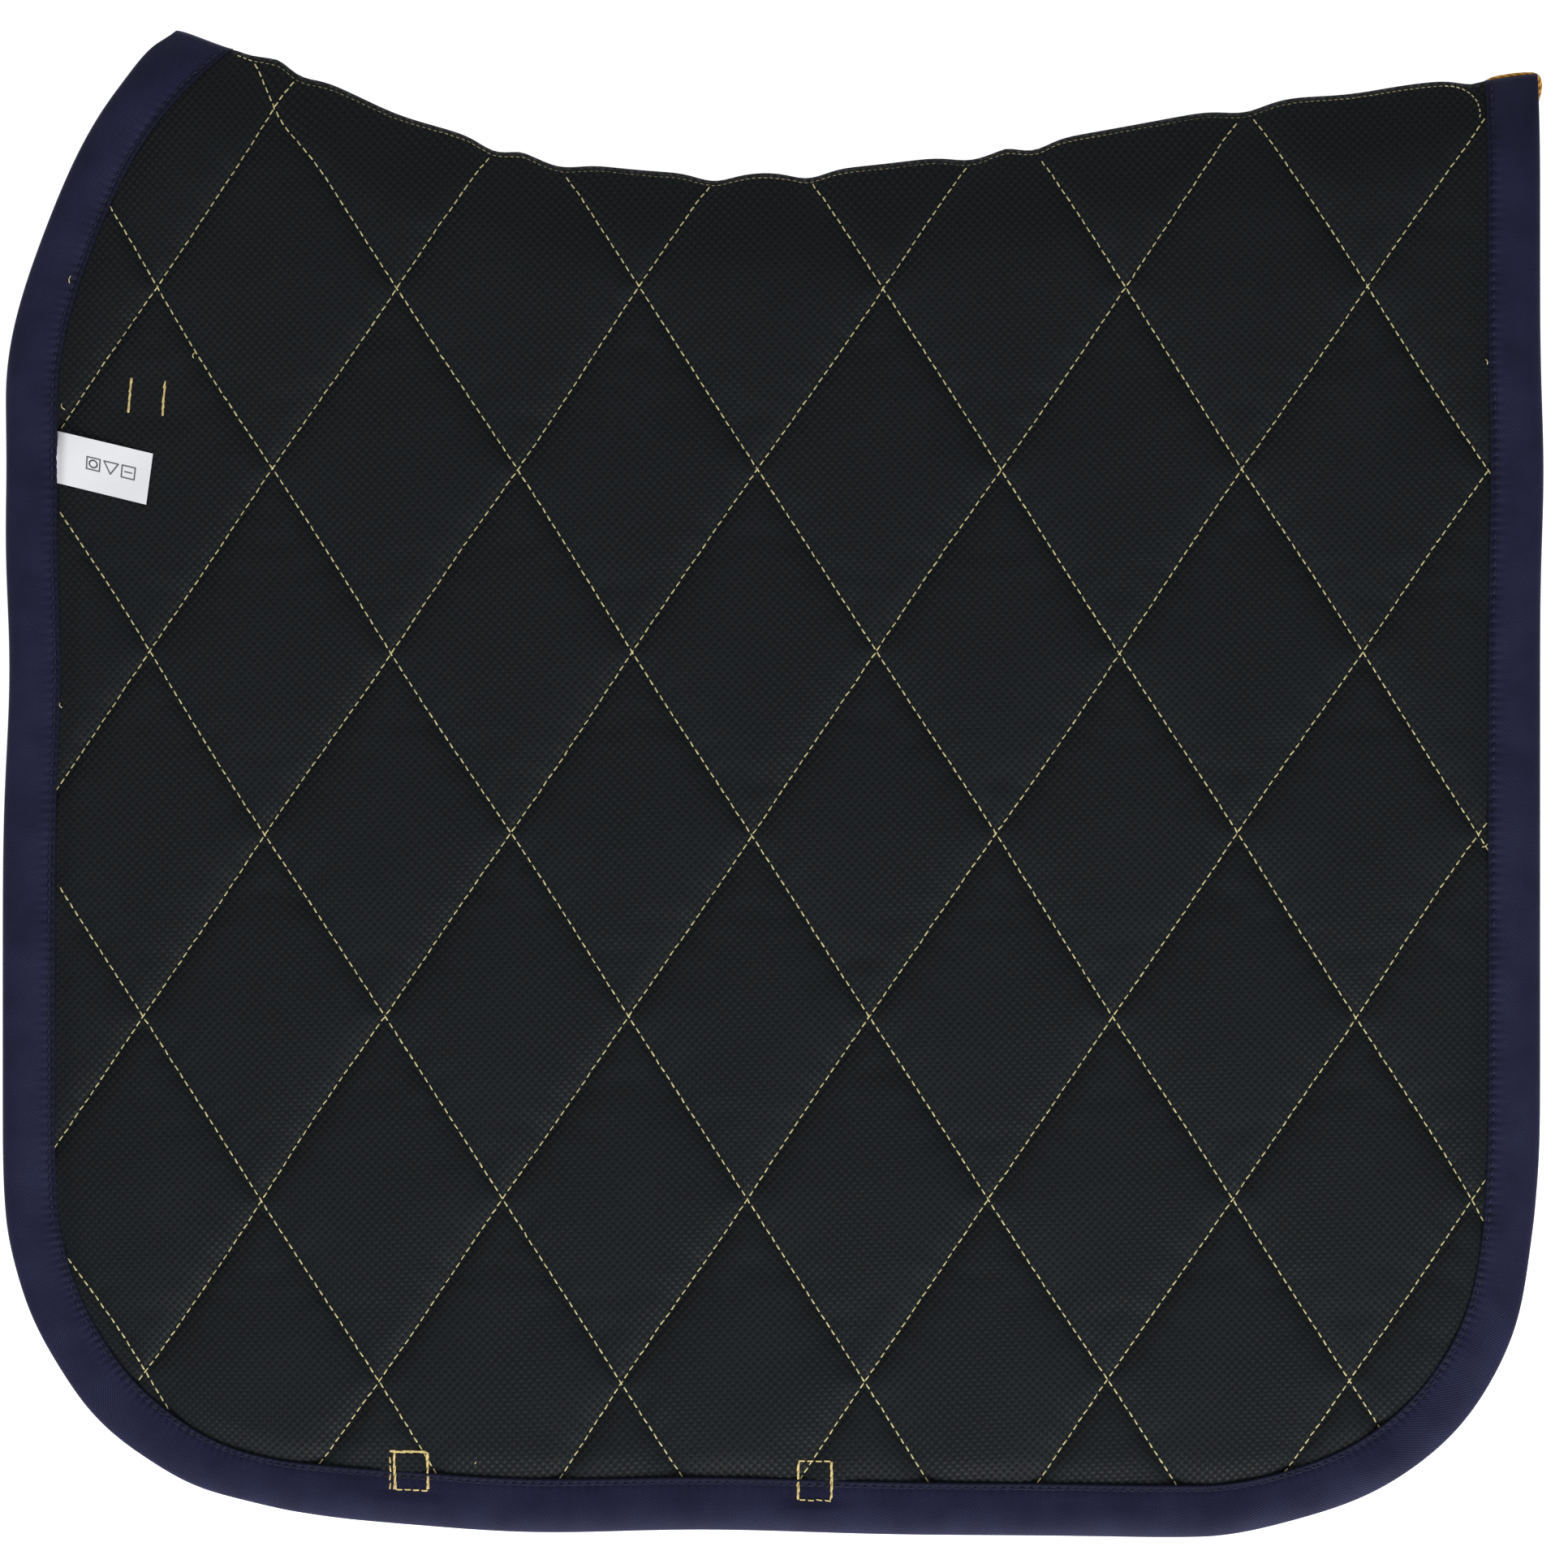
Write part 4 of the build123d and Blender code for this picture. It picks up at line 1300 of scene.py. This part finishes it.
def box_lines():
    (x1, y1, w1, h1), (x2, y2, w2, h2) = BOX_SEAMS
    boxes = []
    for x, y, w, h, tilt in ((x1, y1, w1, h1, 0.02), (x2, y2, w2, h2, -0.01)):
        corner = [np.array([x + sx * w / 2 - tilt * sy * h / 2, y + sy * h / 2 + tilt * sx * w / 2])
                  for sx, sy in ((-1, 1), (1, 1), (1, -1), (-1, -1))]
        boxes.append(corner)
    one, two = boxes
    inner = np.array([1.9 * MM, 0])
    lines = [(one[0], one[1], True), (one[1], one[2], True), (one[2], one[3], False), (one[3], one[0], False),
             (one[3] + inner, one[0] + inner, True), (two[0], two[1], False), (two[1], two[2], True),
             (two[2], two[3], False), (two[3], two[0], True)]
    dice = np.random.default_rng(81)
    made = [seam_line(a, b, heavy, dice) for a, b, heavy in lines]
    return np.vstack([m[0] for m in made]), np.vstack([m[1] for m in made])


def upper_level(points):
    """Height of whatever lies on top on the lining side: the binding, or the cloth inside it."""
    x, y = points.T
    cloth = lining_at(points)
    tape = binding_face(edge_distance(x, y), True) - 0.9 * MM * pressed(x, y)
    return np.where(edge_distance(x, y) < BINDING_W - 0.1 * MM, tape, np.nan_to_num(cloth, nan=LINING_SEAM))


def bold_seam(name, flat_ends, outer_height, side, width=BOLD_W):
    """The same stitches on the lining side and on the webbing side."""
    starts, ends, ups = [], [], []
    for outer in (True, False):
        pair = []
        for end in flat_ends:
            height = upper_level(end) + 0.12 * MM if outer else np.full(len(end), outer_height)
            dx, dy = settling(*end.T)
            pair.append(np.stack([end[:, 0] + dx, end[:, 1] + dy, FOLD_Z + side * height], 1))
        starts.append(pair[0])
        ends.append(pair[1])
        ups.append(np.tile([0, 0, side if outer else -side], (len(pair[0]), 1)))
    return stitches(name, np.vstack(starts), np.vstack(ends), np.vstack(ups), GOLD, width, seed=82)


def tack_lines():
    dice = np.random.default_rng(83)
    made = []
    for cx, cy in TACKS:
        half = TACK_LENGTH / 2
        lean = 0.5 * MM
        for _ in range(2):
            made.append(seam_line((cx - lean, cy - half), (cx + lean, cy + half), True, dice))
    return np.vstack([m[0] for m in made]), np.vstack([m[1] for m in made])


for side in (OFF, NEAR):
    name = SIDE_NAME[side]
    web_face = FACE_IN - 0.2 * MM - WEB_T - 0.1 * MM
    boxes = bold_seam(f"{name}_box_seams", box_lines(), web_face, side)
    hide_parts(f"{name}_keeper_stitching")
    low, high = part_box(f"{name}_saddle_strap")
    strap_face = (FOLD_Z - high.z if side == NEAR else low.z - FOLD_Z) - 0.1 * MM
    bars = bold_seam(f"{name}_bar_tacks", tack_lines(), strap_face, side, TACK_W)
    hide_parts(f"{name}_strap_bar_tacks")
    for obj in (boxes, bars):
        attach(obj, REST_BODY[side])

# %% [markdown]
# ## Size label
# A slip of white satin ribbon, caught under the binding at one end. Its printed size word is left out; three
# plain care signs stand in its place.

# %% Make the label
LABEL_CORNERS = np.array([(-282.2, 138.5), (-241.0, 128.7), (-243.6, 108.8), (-282.4, 118.3)]) * MM
LABEL_LENGTH, LABEL_WIDTH = 36.5 * MM, 20 * MM


def label_point(u, v, lift=0.0):
    """A point of the ribbon, u along it from the sewn end and v across it, both from 0 to 1."""
    a, b, c, d = LABEL_CORNERS
    flat = (a * (1 - u) + b * u) * (1 - v) + (d * (1 - u) + c * u) * v
    x, y = flat.T
    cloth = np.nan_to_num(lining_at(flat), nan=LINING_SEAM)
    u, v = u[:, 0], v[:, 0]
    floating = 0.5 * MM + 0.9 * MM * smooth(u * 1.3) + 0.35 * MM * np.sin(5 * u + 2.5 * v)
    sewn = smooth((u - 0.06) / 0.14)
    smooth_cloth = LINING_CROWN - 0.7 * MM
    height = (cloth + 0.25 * MM) * (1 - sewn) + (smooth_cloth + floating) * sewn
    return np.stack([x, y, FOLD_Z + height + lift], 1)


def label_grid(name, us, vs, material):
    u, v = np.meshgrid(us, vs, indexing="ij")
    points = label_point(u.reshape(-1, 1), v.reshape(-1, 1))
    faces = grid_faces(len(us), len(vs), ring=False)
    flat = np.stack([u.ravel() * LABEL_LENGTH, v.ravel() * LABEL_WIDTH], 1)
    return cloth_object(name, points, faces, material, flat)


def care_mark():
    """Three plain care signs printed on the ribbon: a ring in a square, a triangle and a bar in a square."""
    square = [(-1, -1), (1, -1), (1, 1), (-1, 1)]
    ring = [(0.6 * math.cos(t), 0.6 * math.sin(t)) for t in np.linspace(0, 2 * math.pi, 33)[:-1]]
    triangle = [(-1.1, -0.95), (1.1, -0.95), (0, 1)]
    signs = ((-2.7, square), (-2.7, ring), (0, triangle), (2.7, square), (2.7, [(-0.55, 0), (0.55, 0)]))
    strokes = []
    for at, shape in signs:
        corners = [(u + at, v) for u, v in shape]
        pairs = zip(corners, corners[1:] + corners[:1])
        strokes += list(pairs) if len(corners) > 2 else [corners]
    points, faces = [], []
    size, pen = 2.3 * MM, 0.5 * MM
    centre = np.array([0.62 * LABEL_LENGTH, 0.47 * LABEL_WIDTH])
    for start, end in strokes:
        p, q = centre + np.array(start) * size, centre + np.array(end) * size
        way = (q - p) / np.linalg.norm(q - p)
        side = np.array([-way[1], way[0]]) * pen / 2
        base = len(points)
        p, q = p - way * pen / 3, q + way * pen / 3
        points += [p - side, q - side, q + side, p + side]
        faces.append([base + k for k in (3, 2, 1, 0)])
    flat = np.array(points) / (LABEL_LENGTH, LABEL_WIDTH)
    return cloth_object("label_mark", label_point(flat[:, :1], flat[:, 1:], 0.06 * MM), faces, PRINT, flat)


label = label_grid("label_ribbon", np.linspace(0, 1, 38), np.linspace(0, 1, 22), SATIN)
mark = care_mark()
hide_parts("size_label")
for obj in (label, mark):
    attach(obj, "label")

# %% [markdown]
# ## Thread tails
# A machinist snips the threads where a line ends, and a few tails stay. They are tiny, but a sewn thing looks
# drawn without them.

# %% Leave a few snipped tails
# Where each tail starts, x and y in mm, and its heading in degrees
TAILS = ((-224.7, 168.3, 200), (-273.6, 195.0, 110), (-276.6, 148.8, 240), (-277.3, 32.0, 235),
         (-212.0, 286.6, 330), (279.0, 163.5, 60), (-250.2, 155.0, 280), (279.4, -23.0, 250),
         (-115.5, -263.0, 300))


def snipped_tails():
    dice = np.random.default_rng(91)
    points, faces, flats = [], [], []
    for x, y, heading in TAILS:
        t = np.linspace(0, 1, 9)
        length, curl = dice.uniform(2.2, 3.6) * MM, dice.uniform(-2.2, 2.2)
        way = math.radians(heading) + curl * t
        line = np.array([x, y]) * MM + np.cumsum(np.stack([np.cos(way), np.sin(way)], 1) * length / 9, axis=0)
        height = np.maximum(upper_level(line), LINING_SEAM) + (0.2 + 0.7 * np.sin(math.pi * t)) * MM
        fy = folded(*line.T, height)
        path = np.stack([line[:, 0], line[:, 1], FOLD_Z + fy[2]], 1)
        made = tube(path, 0.18 * MM, 6)
        base = sum(map(len, points))
        points.append(made[0])
        faces += [[i + base for i in f] for f in made[1]]
        flats.append(made[2])
    tails = cloth_object("thread_tails", np.vstack(points), faces, PALE_GOLD, np.vstack(flats))
    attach(tails, "right_flank")


snipped_tails()

# %% [markdown]
# ## Studio
# The pad lies on a plain pale floor under broad soft lights, seen from straight above.

# %% Floor, lights and camera
def make_floor():
    half = 3.0
    corners = np.array([(-half, -half, 0), (half, -half, 0), (half, half, 0), (-half, half, 0)], float)
    corners[:, 2] = -0.6 * MM
    f = Finish("pale_floor", (0.93, 0.93, 0.93), 0.9)
    f.shader.inputs["Emission Color"].default_value = (1, 1, 1, 1)
    f.shader.inputs["Emission Strength"].default_value = 0.8
    floor = cloth_object("floor", corners, [[0, 1, 2, 3]], f.material)


def make_light(name, place, size, power):
    light = bpy.data.lights.new(name, "AREA")
    light.shape, light.size, light.energy = "SQUARE", size, power
    obj = bpy.data.objects.new(name, light)
    obj.location = place
    obj.rotation_euler = (-Vector(place)).to_track_quat("-Z", "Y").to_euler()
    bpy.context.scene.collection.objects.link(obj)


make_floor()
make_light("broad", (0.35, -1.75, 1.05), 1.0, 46)
make_light("side", (-1.2, 1.3, 1.7), 1.2, 9)
world = bpy.data.worlds.new("soft_room")
world.use_nodes = True
world.node_tree.nodes["Background"].inputs["Color"].default_value = (1, 1, 1, 1)
world.node_tree.nodes["Background"].inputs["Strength"].default_value = 0.3
bpy.context.scene.world = world
bpy.context.scene.view_settings.view_transform = "Standard"

# %% Camera
VIEW_WIDTH, CAMERA_HEIGHT, SENSOR = 0.6111, 3.0, 36.0
camera_data = bpy.data.cameras.new("camera")
camera_data.sensor_width = SENSOR
camera_data.lens = SENSOR * CAMERA_HEIGHT / VIEW_WIDTH
camera = bpy.data.objects.new("camera", camera_data)
camera.location = (0.0049, 0.0, CAMERA_HEIGHT + 0.031)
bpy.context.scene.collection.objects.link(camera)
bpy.context.scene.camera = camera

# %% The end: bring the scene up to date
bpy.context.view_layer.update()
